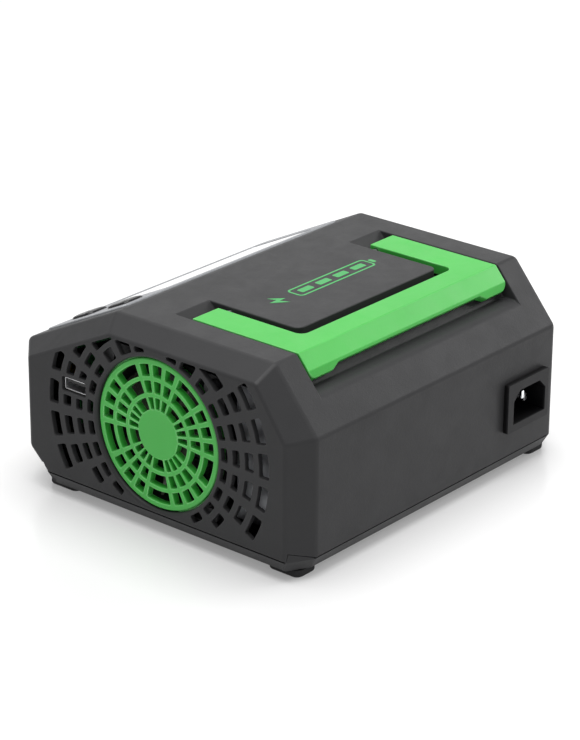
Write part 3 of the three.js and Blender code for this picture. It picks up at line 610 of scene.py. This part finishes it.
housing_mat = plastic(
    "housing_plastic", linear(54, 54, 55), rough=0.42, grain=0.0007, depth=0.00006, vary=0.045, wear_and_highlight=0.4,
    specular=0.14)
# the whitish-green edge colour is partly wear and partly a painted highlight along the grip's creases
green_mat = plastic(
    "grip_plastic", linear(62, 174, 66), rough=0.38, grain=0.0009, depth=0.00003, vary=0.04, wear_and_highlight=0.75,
    specular=0.45, sub=0.05, edge=linear(158, 232, 160))
black_mat = plastic("black_nylon", linear(30, 30, 31), rough=0.5, vary=0.1)
rotor_mat = plastic(
    "rotor_nylon", linear(92, 86, 82), rough=0.24, depth=0.00001, vary=0.06, wear_and_highlight=0.1, specular=0.6)
key_mat = plastic(
    "key_plastic", linear(30, 30, 32), rough=0.2, specular=0.36, grain=0.0005, depth=0.00001, vary=0.06,
    wear_and_highlight=0.4)
yellow_mat = plastic("socket_nylon", linear(222, 168, 40), rough=0.45, vary=0.06, sub=0.05)
cream_mat = plastic("socket_cream", linear(228, 222, 204), rough=0.42, vary=0.04, sub=0.08)
inlet_mat = inlet_finish()
print_mat = plastic(
    "pad_print", linear(64, 158, 86), rough=0.4, grain=0.0005, depth=0.00001, vary=0.04, specular=0.3)
steel_mat = metal("zinc_steel", linear(176, 178, 182), rough=0.3, grain=(1, 1, 6), scale=700)
bright_mat = metal("plated_metal", linear(232, 233, 236), rough=0.24, grain=(1, 8, 1), scale=500)
usb_mat = metal("usb_shell_metal", linear(246, 246, 248), rough=0.4, grain=(6, 1, 1), scale=500)
brass_mat = metal("contact_gold", linear(226, 186, 98), rough=0.2, grain=(1, 1, 5))
heatsink_mat = metal("extruded_aluminium", linear(190, 192, 196), rough=0.36, grain=(0.1, 6, 6), scale=500)
screen_mat = metal("anodised_screen", linear(150, 151, 155), rough=0.42, grain=(0.1, 6, 1), scale=400)


def bezel_finish():
    f = Finish("bezel_silver")
    flake = f.add("TexVoronoi", {"Vector": f.place, "Scale": 2600.0}).outputs["Color"]
    spark = f.add("SeparateColor", {"Color": flake}).outputs[0]
    cloud = f.noise(60, 3)
    shade = f.mix(f.ramp(spark, 0.2, 1.0, 0.0, 0.35), linear(142, 144, 147), linear(178, 180, 183))
    shade = f.mix(f.ramp(cloud, 0.3, 0.8, 0.0, 0.2), shade, linear(138, 140, 144))
    return f.set(color=shade, rough=f.ramp(cloud, 0.3, 0.7, 0.36, 0.46), metal=0.3, specular=0.2,
                 coat=0.05, coat_rough=0.3, normal=f.bump(spark, 0.000006, 0.5))


def lens_finish():
    f = Finish("display_lens")
    smear = f.noise(45, 5, 0.65, stretch=(1, 2.5, 1), distortion=0.6)
    shade = f.mix(f.ramp(smear, 0.3, 0.8), linear(9, 10, 12), linear(20, 22, 25))
    return f.set(color=shade, rough=f.ramp(smear, 0.35, 0.75, 0.03, 0.11), specular=0.6,
                 coat=1.0, coat_rough=0.02, normal=f.bump(f.noise(14, 2), 0.00004, 0.3))


def board_finish():
    f = Finish("circuit_board")
    cell = f.add("TexVoronoi", {"Vector": f.place, "Scale": 260.0, "Randomness": 0.35}, distance="MANHATTAN")
    track = f.add("TexBrick", {
        "Vector": f.place, "Scale": 90.0, "Color1": (0, 0, 0, 1), "Color2": (0.2, 0.2, 0.2, 1),
        "Mortar": (1, 1, 1, 1), "Mortar Size": 0.06, "Mortar Smooth": 0.2,
        "Brick Width": 0.9, "Row Height": 0.22,
    })
    copper = f.ramp(track.outputs["Fac"], 0.2, 0.8, 0.0, 0.55)
    pad = f.ramp(cell.outputs["Distance"], 0.16, 0.12)
    base = f.mix(copper, linear(16, 84, 44), linear(52, 132, 66))
    shade = f.mix(pad, base, linear(196, 190, 168))
    return f.set(color=shade, rough=f.ramp(f.noise(240, 3), 0.3, 0.7, 0.28, 0.42), specular=0.5,
                 normal=f.bump(f.math("ADD", copper, pad), 0.00004, 0.6))


def rubber_finish():
    f = Finish("foot_rubber")
    fine = f.noise(1500, 3, 0.7)
    dust = f.noise(120, 4, 0.7)
    shade = f.mix(f.ramp(dust, 0.5, 0.8, 0.0, 0.25), linear(42, 42, 43), linear(84, 83, 80))
    return f.set(color=shade, rough=f.ramp(fine, 0.3, 0.7, 0.75, 0.92), specular=0.3,
                 normal=f.bump(fine, 0.00008, 0.8))


def tape_finish():
    f = Finish("winding_tape")
    band = f.add("TexWave", {"Vector": f.place, "Scale": 55.0, "Distortion": 0.6, "Detail": 2.0},
                 wave_type="BANDS", bands_direction="Z", wave_profile="SAW").outputs["Fac"]
    crease = f.noise(300, 4, 0.6, stretch=(1, 1, 0.3))
    shade = f.mix(f.ramp(band, 0.0, 1.0, 0.0, 0.5), linear(206, 168, 62), linear(168, 126, 34))
    return f.set(color=shade, rough=f.ramp(crease, 0.3, 0.7, 0.3, 0.48), coat=0.2,
                 normal=f.bump(f.math("ADD", band, crease), 0.0001, 0.7))


def ferrite_finish():
    f = Finish("ferrite")
    grit = f.noise(1100, 5, 0.75)
    shade = f.mix(f.ramp(grit, 0.3, 0.7), linear(34, 34, 37), linear(70, 70, 74))
    return f.set(color=shade, rough=f.ramp(grit, 0.3, 0.7, 0.55, 0.8), normal=f.bump(grit, 0.0001, 0.8))


def copper_finish():
    f = Finish("copper_winding")
    to_axis = f.add("Mapping", {"Vector": f.place, "Location": (-0.030, -0.058, 0.0)}).outputs[0]
    turns = f.add("TexGradient", {"Vector": to_axis}, gradient_type="RADIAL").outputs["Fac"]
    wire = f.math("PINGPONG", f.math("MULTIPLY", turns, 44.0), 0.5)
    shade = f.mix(f.ramp(wire, 0.05, 0.4), linear(92, 44, 20), linear(196, 110, 58))
    return f.set(color=shade, rough=0.34, metal=0.8, coat=0.5,
                 normal=f.bump(f.ramp(wire, 0.0, 0.5), 0.0006, 0.9))


def sleeve_finish():
    f = Finish("capacitor_sleeve")
    wrap = f.noise(420, 3, 0.5, stretch=(1, 1, 0.2))
    shade = f.mix(f.ramp(wrap, 0.3, 0.7), linear(22, 44, 96), linear(38, 70, 138))
    return f.set(color=shade, rough=f.ramp(wrap, 0.3, 0.7, 0.2, 0.34), coat=0.4,
                 normal=f.bump(wrap, 0.00005, 0.5))


def sheet_finish():
    f = Finish("insulating_sheet")
    fibre = f.noise(900, 4, 0.7, stretch=(1, 6, 1))
    shade = f.mix(f.ramp(fibre, 0.3, 0.7), linear(196, 194, 184), linear(224, 222, 212))
    return f.set(color=shade, rough=f.ramp(fibre, 0.3, 0.7, 0.55, 0.7), normal=f.bump(fibre, 0.00003, 0.5))


def module_finish():
    f = Finish("display_module")
    lay = f.noise(600, 2, 0.5, stretch=(8, 1, 1))
    shade = f.mix(f.ramp(lay, 0.3, 0.7), linear(128, 132, 134), linear(160, 163, 166))
    return f.set(color=shade, rough=0.42, metal=0.5, normal=f.bump(lay, 0.00002, 0.5))


bezel_mat = bezel_finish()
lens_mat = lens_finish()
board_mat = board_finish()
rubber_mat = rubber_finish()

# ---------------------------------------------------------------- upper housing half


def housing_form(far, mid, end, x_mid, x_end):
    stations = ((-x_end, far), (-x_mid, mid), (x_mid, mid), (x_end, end))
    return loft([[(x, y, z) for y, z in ring] for x, ring in stations])


def slope_point(w, h):
    return back_slope(0, w, h)[1:]


# (y, z) lines of the handle pocket's floor and of the liner wall under it
POCKET_LINE = [
    (-7.5, Z_TOP), (0.2, Z_TOP - 8.0), (12.0, Z_TOP - 8.0), (13.6, Z_TOP - 6.4), (59.1, Z_TOP - 6.4),
    slope_point(14.5, -6.4), slope_point(20.0, 0),
]
LINER_LINE = [
    (-10.6, Z_TOP - 1.0), (-1.2, Z_TOP - 10.4), (13.2, Z_TOP - 10.4), (14.8, Z_TOP - 8.8), (57.7, Z_TOP - 8.8),
    slope_point(14.8, -8.9), slope_point(24.0, -2.0),
]
RAMP_FOOT = slope_point(20.0, 0)[1]


def sweep_x(points, x0, x1):
    return loft([[(x, y, z) for y, z in points] for x in (x0, x1)])


def pocket_cut():
    above = [slope_point(20.0, 6), slope_point(0, 9), (-7.5, Z_TOP + 6)]
    cut = sweep_x(POCKET_LINE + above, -RECESS_X, RECESS_X)
    outline = [(ISLAND_X, -60, 0), (ISLAND_X, ISLAND_Y, 4), (-ISLAND_X, ISLAND_Y, 4), (-ISLAND_X, -60, 0)]
    island = prism(outline, upright, Z_TOP - 20, Z_TOP + 20, arc=6)
    return boolean(cut, island, solver="EXACT")


def shell_radius(mid, outward, edge):
    """How much an edge of the housing is rounded, from its middle point, its turn and its direction."""
    if mid.z < Z_SPLIT + 0.1:
        return 0.35
    if abs(mid.x) < RECESS_X + 0.05 and mid.z > 70 and mid.y > -7.6:
        upright_edge = abs(edge.verts[0].co.z - edge.verts[1].co.z) > 1.0
        if not outward:
            return 0.7
        if mid.z < RAMP_FOOT + 0.2 and abs(mid.x) < 1:
            return RAMP_R
        return 0.4 if upright_edge and abs(mid.x) < ISLAND_X + 1 else RIM_R
    return CREASE_R


def vent_slots(side, centre, profile, keep_out=None):
    """Rays of slots round a centre; a slot that meets the keep-out rectangle ends above and below it."""
    panel = inset(with_radius(profile, 0), 1.3)
    spots = [(SLOT_FIRST + SLOT_PITCH * k,) + row for k in range(SLOT_RAYS) for row in SLOT_ROWS]
    spots += TOP_SLOTS + [(180 - t[0],) + t[1:] for t in TOP_SLOTS]
    cuts = []
    for angle, r0, r1, half in spots:
        if centre[1] + (r0 + r1) / 2 * math.sin(math.radians(angle)) <= Z_SPLIT + 3.6:
            continue
        poly = clipped(sector(*centre, r0, r1, angle - half, angle + half, SLOT_CORNER, 2), panel, SLOT_CORNER)
        if keep_out and poly:
            u0, u1, v0, v1 = keep_out
            if max(p[0] for p in poly) > u0 and min(p[0] for p in poly) < u1:
                below = clipped(poly, [(-200, -200), (200, -200), (200, v0), (-200, v0)], SLOT_CORNER)
                above = clipped(poly, [(-200, v1), (200, v1), (200, 200), (-200, 200)], SLOT_CORNER)
                cuts += [p for p in (below, above) if p]
                continue
        if poly:
            cuts.append(poly)
    return joined([plate(p, end_face(side), lip(SLOT_R, 6.0), arc=3) for p in cuts])


def far_louvres():
    """Level slots that fill a circle on the far end panel."""
    cuts = []
    for k in range(-LOUVRE_ROWS, LOUVRE_ROWS + 1):
        dz = LOUVRE_PITCH * k
        half = math.sqrt(LOUVRE_REACH * LOUVRE_REACH - dz * dz)
        slot = rect(FAR_CENTRE[0], FAR_CENTRE[1] + dz, 2 * half, 3.6, 1.7)
        cuts.append(plate(slot, end_face(-1), lip(SLOT_R, 6.0), arc=5))
    return joined(cuts)


def corner_post(a, b, grow, levels, inn):
    """The block by which the tray rises into the shell at a corner: levels are (z, distance outside, start)."""
    run = Vector(b) - Vector(a)
    size = run.length
    u = run / size
    n = Vector((u.y, -u.x))
    if n.dot(Vector(a)) < 0:
        n = -n

    def at(s, d, z):
        p = Vector(a) + u * s + n * d
        return (p.x, p.y, z)

    rings = []
    for k, (z, out, start) in enumerate(levels):
        high = z + POST_RISE if k == len(levels) - 1 else z
        end, first = size - 0.8 + grow, start - grow
        rings.append([at(first, out, high), at(end, out, z), at(end, -inn, z), at(first, -inn, high)])
    return loft(rings)


def pivot_bore(x0, x1):
    return sweep_x([p[:2] for p in circle(PIVOT[0], PIVOT[1], PIVOT[2] + PIN_CLEARANCE, 24)], x0, x1)


def upper_shell():
    form = housing_form(PROFILE_FAR, PROFILE_MID, PROFILE_END, X_BAND, X_END)
    form = boolean(form, pocket_cut(), solver="EXACT")
    form = bevelled(form, shell_radius)

    def within(profile, wall):
        return [p[:2] for p in inset(with_radius(profile, 0), [-8] + [wall] * 6)]

    inner = housing_form(
        within(PROFILE_FAR, 1.6), within(PROFILE_MID, WALL), within(PROFILE_END, 1.6), X_BAND - 1, X_END - WALL)
    above = [slope_point(24.0, 6), slope_point(0, 9), (-10.6, Z_TOP + 6)]
    liner = sweep_x(LINER_LINE + above, -RECESS_X - WALL, RECESS_X + WALL)
    island = rect(0, (ISLAND_Y - WALL - 60) / 2, 2 * ISLAND_X - 2 * WALL, ISLAND_Y - WALL + 60, 0)
    liner = boolean(liner, prism(island, upright, 0, 200))
    form = boolean(form, boolean(inner, liner))
    usb = (USB[1] - 8, USB[1] + 8, USB[2] - 5.2, USB[2] + 5.2)
    form = boolean(form, vent_slots(1, (FAN_Y, FAN_Z), PROFILE_END, usb))
    form = boolean(form, vent_slots(-1, FAR_CENTRE, PROFILE_FAR))
    form = boolean(form, far_louvres())
    form = boolean(form, plate(rect(USB[1], USB[2], 14.6, 6.8, 0.9), end_face(1), lip(0.3, 6.0)))
    form = boolean(form, plate(circle(FAN_Y, FAN_Z, GRILLE_R + 0.6, 96), end_face(1), lip(1.5, 6.0, steps=6)))
    bosses = [prism(circle(y, z, BOSS_R, 40), along_x, FLANGE_X0, X_END - WALL + 0.2) for y, z in BOLTS]
    form = boolean(form, joined(bosses), "UNION")
    bore_x0, bore_x1 = FLANGE_X0 - 0.6, X_END - WALL - 0.6
    bores = [prism(circle(y, z, SCREW_BORE_R, 24), along_x, bore_x0, bore_x1) for y, z in BOLTS]
    form = boolean(form, joined(bores))
    form = boolean(form, plate(rect(*BEZEL[:2], BEZEL[2] + 0.6, BEZEL[3] + 0.6, 6.3), deck, lip(0.3, 1.3)))
    form = boolean(form, prism(rect(*WINDOW[:2], WINDOW[2] - 2, WINDOW[3] - 2, 2), deck, -8, 3))
    key_holes = [prism(rect(KEY_X, v, KEY_HOLE, KEY_HOLE, 4), deck, -8, 3) for v in KEY_Y]
    form = boolean(form, joined(key_holes))
    holes = [plate(rect(p[0], p[2], 16.4, 8.8, 1), front_face, lip(0.3, 6.0)) for p in POWER]
    holes += [plate(rect(p[0], p[2], 22.6, 8.2, 1), front_face, lip(0.4, 6.0)) for p in BALANCE]
    holes.append(plate(rect(CAVITY_X, INLET[2], 27.6, 20.2, 1), back_face, lip(0.3, 6.0)))
    form = boolean(form, joined(holes))
    spans = ((ISLAND_X - 2, RECESS_X + 1.8), (-RECESS_X - 1.8, -ISLAND_X + 2))
    form = boolean(form, joined([pivot_bore(x0, x1) for x0, x1 in spans]))
    notch = [(Z_SPLIT - 4, 8, 0.4), (Z_SPLIT + 0.3, 8, 1.9)]
    return boolean(form, joined([corner_post(a, b, 0.3, notch, 5.4) for a, b in CORNERS]))


piece("housing_shell", upper_shell(), "housing", housing_mat, ["upper_shell"])

# ---------------------------------------------------------------- base tray


def base_tray():
    plan = with_radius(PLAN, 0)
    gap = [3.6, 3.6, 3.6, 3.9, 4.3, 3.9, 3.6, 3.6]      # inset of the rim at each side of the plan
    low, top = inset(plan, 3.8), inset(plan, 0.8)

    def ring(poly, z):
        return [(p[0], p[1], z) for p in poly]

    form = loft([ring(low, Z_UNDER), ring(top, Z_SPLIT - 1)])
    form = bevelled(form, lambda mid, outward, e: 0.5 if mid.z < Z_SPLIT - 1.5 else 0.3)
    rim_in = inset(plan, [g + 1.8 for g in gap])
    rim = loft([ring(inset(plan, gap), Z_UNDER + 1), ring(inset(plan, gap), Z_SPLIT + 3)])
    form = boolean(form, rim, "UNION")
    form = boolean(form, loft([ring(rim_in, Z_UNDER + 2.4), ring(rim_in, Z_SPLIT + 5)]))
    levels = [(Z_UNDER + 1, -3.2, 0.6), (Z_SPLIT - 0.6, -0.05, 0.8), (Z_SPLIT, -0.05, 1.9)]
    posts = [bevelled(corner_post(a, b, 0, levels, 5.0), lambda *_: 0.3, steps=2) for a, b in CORNERS]
    form = boolean(form, joined(posts), "UNION")
    towers = [prism(circle(x, y, 3.2, 32), upright, Z_UNDER + 2, Z_UNDER + 7.4)
              for x, y in ((-66, -44), (60, -44), (-66, 66), (60, 66))]
    screws = [middle(f"tray_screw_{i}")[:2] for i in (1, 2, 3, 4)]
    towers += [prism(circle(x, y, 4.2, 32), upright, Z_UNDER + 1, Z_UNDER + 6) for x, y in screws]
    form = boolean(form, joined(towers), "UNION")
    bores = [prism(circle(x, y, SCREW_BORE_R, 24), upright, Z_UNDER - 1, Z_UNDER + 8) for x, y in screws]
    form = boolean(form, joined(bores))

    def under(u, v, h):
        return (u, v, Z_UNDER - h)

    form = boolean(form, joined([plate(circle(x, y, 3.4, 40), under, lip(0.3, 2.4)) for x, y in screws]))
    spots = [(x, -30 + i * 8) for x in (-40, 40) for i in range(6)]
    slots = [plate(rect(x, y, 34, 3.2, 1.5), under, lip(0.4, 4.0)) for x, y in spots]
    return boolean(form, joined(slots))


piece("housing_tray", base_tray(), "housing", housing_mat, ["base_tray"])

# ---------------------------------------------------------------- end grille


def grille_front(u, v, h):
    return (GRILLE_FACE + h, u, v)


def end_grille():
    disc = plate(circle(FAN_Y, FAN_Z, GRILLE_R, 96), grille_front, crown(FLANGE_X0 + 0.6 - GRILLE_FACE, 0, 0.9))
    flange = prism(circle(FAN_Y, FAN_Z, FLANGE_R, 96), along_x, FLANGE_X0, FLANGE_X1)
    form = boolean(disc, flange, "UNION")
    cuts = []
    for s in range(SPOKE_SECTORS):
        base = -90 + 360 / SPOKE_SECTORS * s
        for r0, r1 in GRILLE_ROWS:
            spans = [(base - 12.4, base + 12.4)] + [(base + o - 4.8, base + o + 4.8) for o in (22, 36, 50)]
            for a, b in spans:
                hole = sector(FAN_Y, FAN_Z, r0, r1, a, b, 0.35, 5)
                cuts.append(plate(hole, grille_front, lip(0.35, 9.0, steps=3), arc=2))
    form = boolean(form, joined(cuts))
    form = boolean(form, prism(circle(FAN_Y, FAN_Z, 34, 72), along_x, FLANGE_X0 - 1, FLANGE_X0 + 0.6))
    over_tray = [
        (FAN_Y - 40, 0), (FAN_Y + 40, 0), (FAN_Y + 40, Z_SPLIT + 3.4), (FAN_Y - 40, Z_SPLIT + 3.4),
    ]
    return boolean(form, sweep_x(over_tray, FLANGE_X0 - 1, FLANGE_X1 + 0.1))


piece("end_grille", end_grille(), "housing", green_mat, ["fan_grille"])

# ---------------------------------------------------------------- carry handle


def handle_form():
    side = [
        (1.6, Z_TOP - HANDLE_THICK), (58.2, Z_TOP - HANDLE_THICK), slope_point(2.2, -HANDLE_THICK),
        slope_point(12.5, -HANDLE_THICK), slope_point(12.5, -1.7), slope_point(9.0, 0), slope_point(0, 0),
        (1.6, Z_TOP),
    ]
    form = sweep_x(side, -ARM_OUT, ARM_OUT)
    between_arms = [(-ARM_IN, -40, 0), (ARM_IN, -40, 0), (ARM_IN, 50, 4), (-ARM_IN, 50, 4)]
    window = prism(between_arms, upright, Z_TOP - 30, Z_TOP + 10, arc=6)
    form = boolean(form, window, solver="EXACT")
    past = ARM_OUT + 0.01
    outline = [
        (-past, -80, 0), (past, -80, 0), (past, 12.5, 4), (55, 12.5, 0.8), (50.5, 10.2, 0.8),
        (-50.5, 10.2, 0.8), (-55, 12.5, 0.8), (-past, 12.5, 4),
    ]
    keep_in = prism(outline, back_slope, -62, 12, arc=6)
    form = boolean(form, keep_in, "INTERSECT", solver="EXACT")
    form = bevelled(form, lambda mid, outward, e: 0.9 if outward else 0.6)
    return boolean(form, pivot_bore(-ARM_OUT - 1, ARM_OUT + 1))


piece("handle_grip", handle_form(), "handle", green_mat, ["carry_handle"])

# ---------------------------------------------------------------- control deck


def deck_bezel():
    def bezel_face(u, v, h):
        return deck(u, v, h + BEZEL_PROUD)

    form = plate(rect(*BEZEL, 6), deck, crown(-1.0, BEZEL_PROUD, 0.5))
    form = boolean(form, plate(rect(*WINDOW, 3), bezel_face, lip(0.4, 3.0)))
    holes = [plate(rect(KEY_X, v, KEY_HOLE, KEY_HOLE, 4), bezel_face, lip(0.3, 3.0)) for v in KEY_Y]
    return boolean(form, joined(holes))


def key_cap(v):
    levels = crown(-3.0, 1.8, 1.1) + [(2.1, -2.6), (2.25, -4.4), (2.3, -5.8)]
    cap = plate(rect(KEY_X, v, KEY_SIZE, KEY_SIZE, 3.8), deck, levels)
    return boolean(cap, prism(rect(KEY_X, v, 5, 5, 1), deck, -6.6, -2.8), "UNION")


piece("deck_bezel", deck_bezel(), "housing", bezel_mat, ["front_bezel"])
lens_outline = rect(*WINDOW[:2], WINDOW[2] - 0.6, WINDOW[3] - 0.6, 2.7)
lens = plate(lens_outline, deck, crown(-1.0, 0.6, 0.3))
piece("deck_lens", lens, "housing", lens_mat, ["display_lens"])
for i, (v, body) in enumerate(zip(KEY_Y, ("key_upper", "key_lower")), 1):
    piece(f"key_cap_{i}", key_cap(v), body, key_mat, [f"key_{i}"])

# ---------------------------------------------------------------- feet


def foot(node):
    (x0, y0, z0), (x1, y1, z1) = box_mm(node)
    outline = rect((x0 + x1) / 2, (y0 + y1) / 2, x1 - x0, y1 - y0, 3.6)
    return plate(outline, upright, crown(z0, z1, 0.3, r_low=1.1))


for name in ("back_fan_end", "back_far_end", "front_fan_end", "front_far_end"):
    piece(f"pad_{name}", foot(f"foot_{name}"), "housing", rubber_mat, [f"foot_{name}"])

# ---------------------------------------------------------------- pictogram printed on the top

MARK_Y = 16


def top_print(u, v, h):
    return (u, v, Z_TOP + h)


def battery_mark():
    """A plain battery outline with charge bars and a flash beside it, pad-printed between the handle's arms."""
    def printed(outline):
        return prism(outline, top_print, -0.2, 0.06)

    inside = prism(rect(-8, MARK_Y, 52, 7.6, 1.6), top_print, -1, 1)
    parts = [boolean(printed(rect(-8, MARK_Y, 54, 9.6, 2.4)), inside)]
    parts.append(printed(rect(-37.0, MARK_Y, 2.2, 4.0, 0.8)))
    for i in range(4):
        parts.append(printed(rect(-26.6 + i * 12.4, MARK_Y, 8.4, 3.8, 0.7)))
    flash = [(25.4, 16.6), (31.4, 10.8), (29.8, 15.2), (34.6, 15.2), (27.4, 21.2), (29.4, 16.6)]
    parts.append(printed(with_radius(flash, 0)))
    return joined(parts)


piece("top_pictogram", battery_mark(), "housing", print_mat)

# ---------------------------------------------------------------- CAD nodes that stay

keep("ac_inlet", inlet_mat, 0.35)
for n in ("live", "neutral", "earth"):
    keep(f"inlet_pin_{n}", bright_mat, 0.25)
keep("usb_shell", usb_mat, 0.16)
keep("usb_tongue", black_mat, 0.15)
for c in "ab":
    keep(f"power_socket_{c}", yellow_mat, 0.25)
    keep(f"balance_socket_{c}", cream_mat, 0.2)
    for s in ("plus", "minus"):
        keep(f"power_contact_{c}_{s}", brass_mat, 0.15)
for s in ("fan_end", "far_end"):
    keep(f"handle_pin_{s}", steel_mat, 0.2)
for i in (1, 2, 3, 4):
    keep(f"fan_screw_{i}", steel_mat, 0.15)
    keep(f"tray_screw_{i}", steel_mat, 0.15)
keep("fan_frame", black_mat, 0.3)
keep("fan_rotor", rotor_mat, 0.3)
keep("display_module", module_finish(), 0.3)
for n in ("control_board", "front_board", "main_board"):
    keep(n, board_mat, 0.1)
for i in (1, 2):
    keep(f"key_switch_{i}", black_mat, 0.2)
    keep(f"heatsink_{i}", heatsink_mat, 0.2)
    keep(f"capacitor_{i}", sleeve_finish(), 0.6)
keep("insulating_sheet", sheet_finish(), 0.1)
keep("transformer_core", ferrite_finish(), 0.4)
keep("transformer_winding", tape_finish(), 1.2)
keep("output_inductor", copper_finish())
keep("buzzer", black_mat, 0.3)
keep("supply_shield", screen_mat, 0.3)

# ---------------------------------------------------------------- floor, light and camera

floor_finish = Finish("studio_floor")
floor_rough = floor_finish.ramp(floor_finish.noise(3, 2), 0.3, 0.7, 0.2, 0.24)
floor_finish.set(color=(0.62, 0.62, 0.62, 1), rough=floor_rough, specular=0.3)
floor_finish.bsdf.inputs["Emission Color"].default_value = (1, 1, 1, 1)
floor_finish.bsdf.inputs["Emission Strength"].default_value = 0.24
floor_mesh = bpy.data.meshes.new("studio_floor")
FLOOR_HALF = 8          # metres
floor_corners = [(x * FLOOR_HALF, y * FLOOR_HALF, 0) for x, y in ((-1, -1), (1, -1), (1, 1), (-1, 1))]
floor_mesh.from_pydata(floor_corners, [], [(0, 1, 2, 3)])
floor_mesh.materials.append(floor_finish.mat)
floor = bpy.data.objects.new("studio_floor", floor_mesh)
bpy.context.scene.collection.objects.link(floor)

world = bpy.data.worlds.new("studio")
bpy.context.scene.world = world
world.use_nodes = True
world.node_tree.nodes["Background"].inputs["Color"].default_value = (1, 1, 1, 1)
world.node_tree.nodes["Background"].inputs["Strength"].default_value = 0.45


AIM = (0, 0, 0.05)


def softbox(name, at, size, power):
    light = bpy.data.lights.new(name, "AREA")
    light.shape, light.size, light.size_y, light.energy = "RECTANGLE", size[0], size[1], power
    obj = bpy.data.objects.new(name, light)
    bpy.context.scene.collection.objects.link(obj)
    obj.location = at
    obj.rotation_euler = (Vector(AIM) - Vector(at)).to_track_quat("-Z", "Y").to_euler()


softbox("light_top", (0.0, 0.0, 1.8), (1.6, 1.6), 38)
softbox("light_side", (-1.25, 0.6, 0.62), (0.7, 0.6), 6)
softbox("light_rear", (-1.15, -0.97, 0.66), (1.3, 0.8), 2.2)

bpy.context.scene.view_settings.view_transform = "Standard"
bpy.context.scene.view_settings.look = "None"

camera_data = bpy.data.cameras.new("camera")
camera_data.sensor_width = 36
camera_data.lens = 134.66
camera_data.clip_end = 50
camera = bpy.data.objects.new("camera", camera_data)
bpy.context.scene.collection.objects.link(camera)
bpy.context.scene.camera = camera
CAMERA_AT = Vector((0.9021, 0.7581, 0.5430))
BACK = Vector((0.7047, 0.5937, 0.3883)).normalized()
LEVEL = Vector((-BACK.y, BACK.x, 0)).normalized()
PLUMB = BACK.cross(LEVEL)
ROLL = math.radians(0.34)
right = LEVEL * math.cos(ROLL) + PLUMB * math.sin(ROLL)
up = PLUMB * math.cos(ROLL) - LEVEL * math.sin(ROLL)
camera.matrix_world = Matrix([*zip(right, up, BACK, CAMERA_AT), (0, 0, 0, 1)])
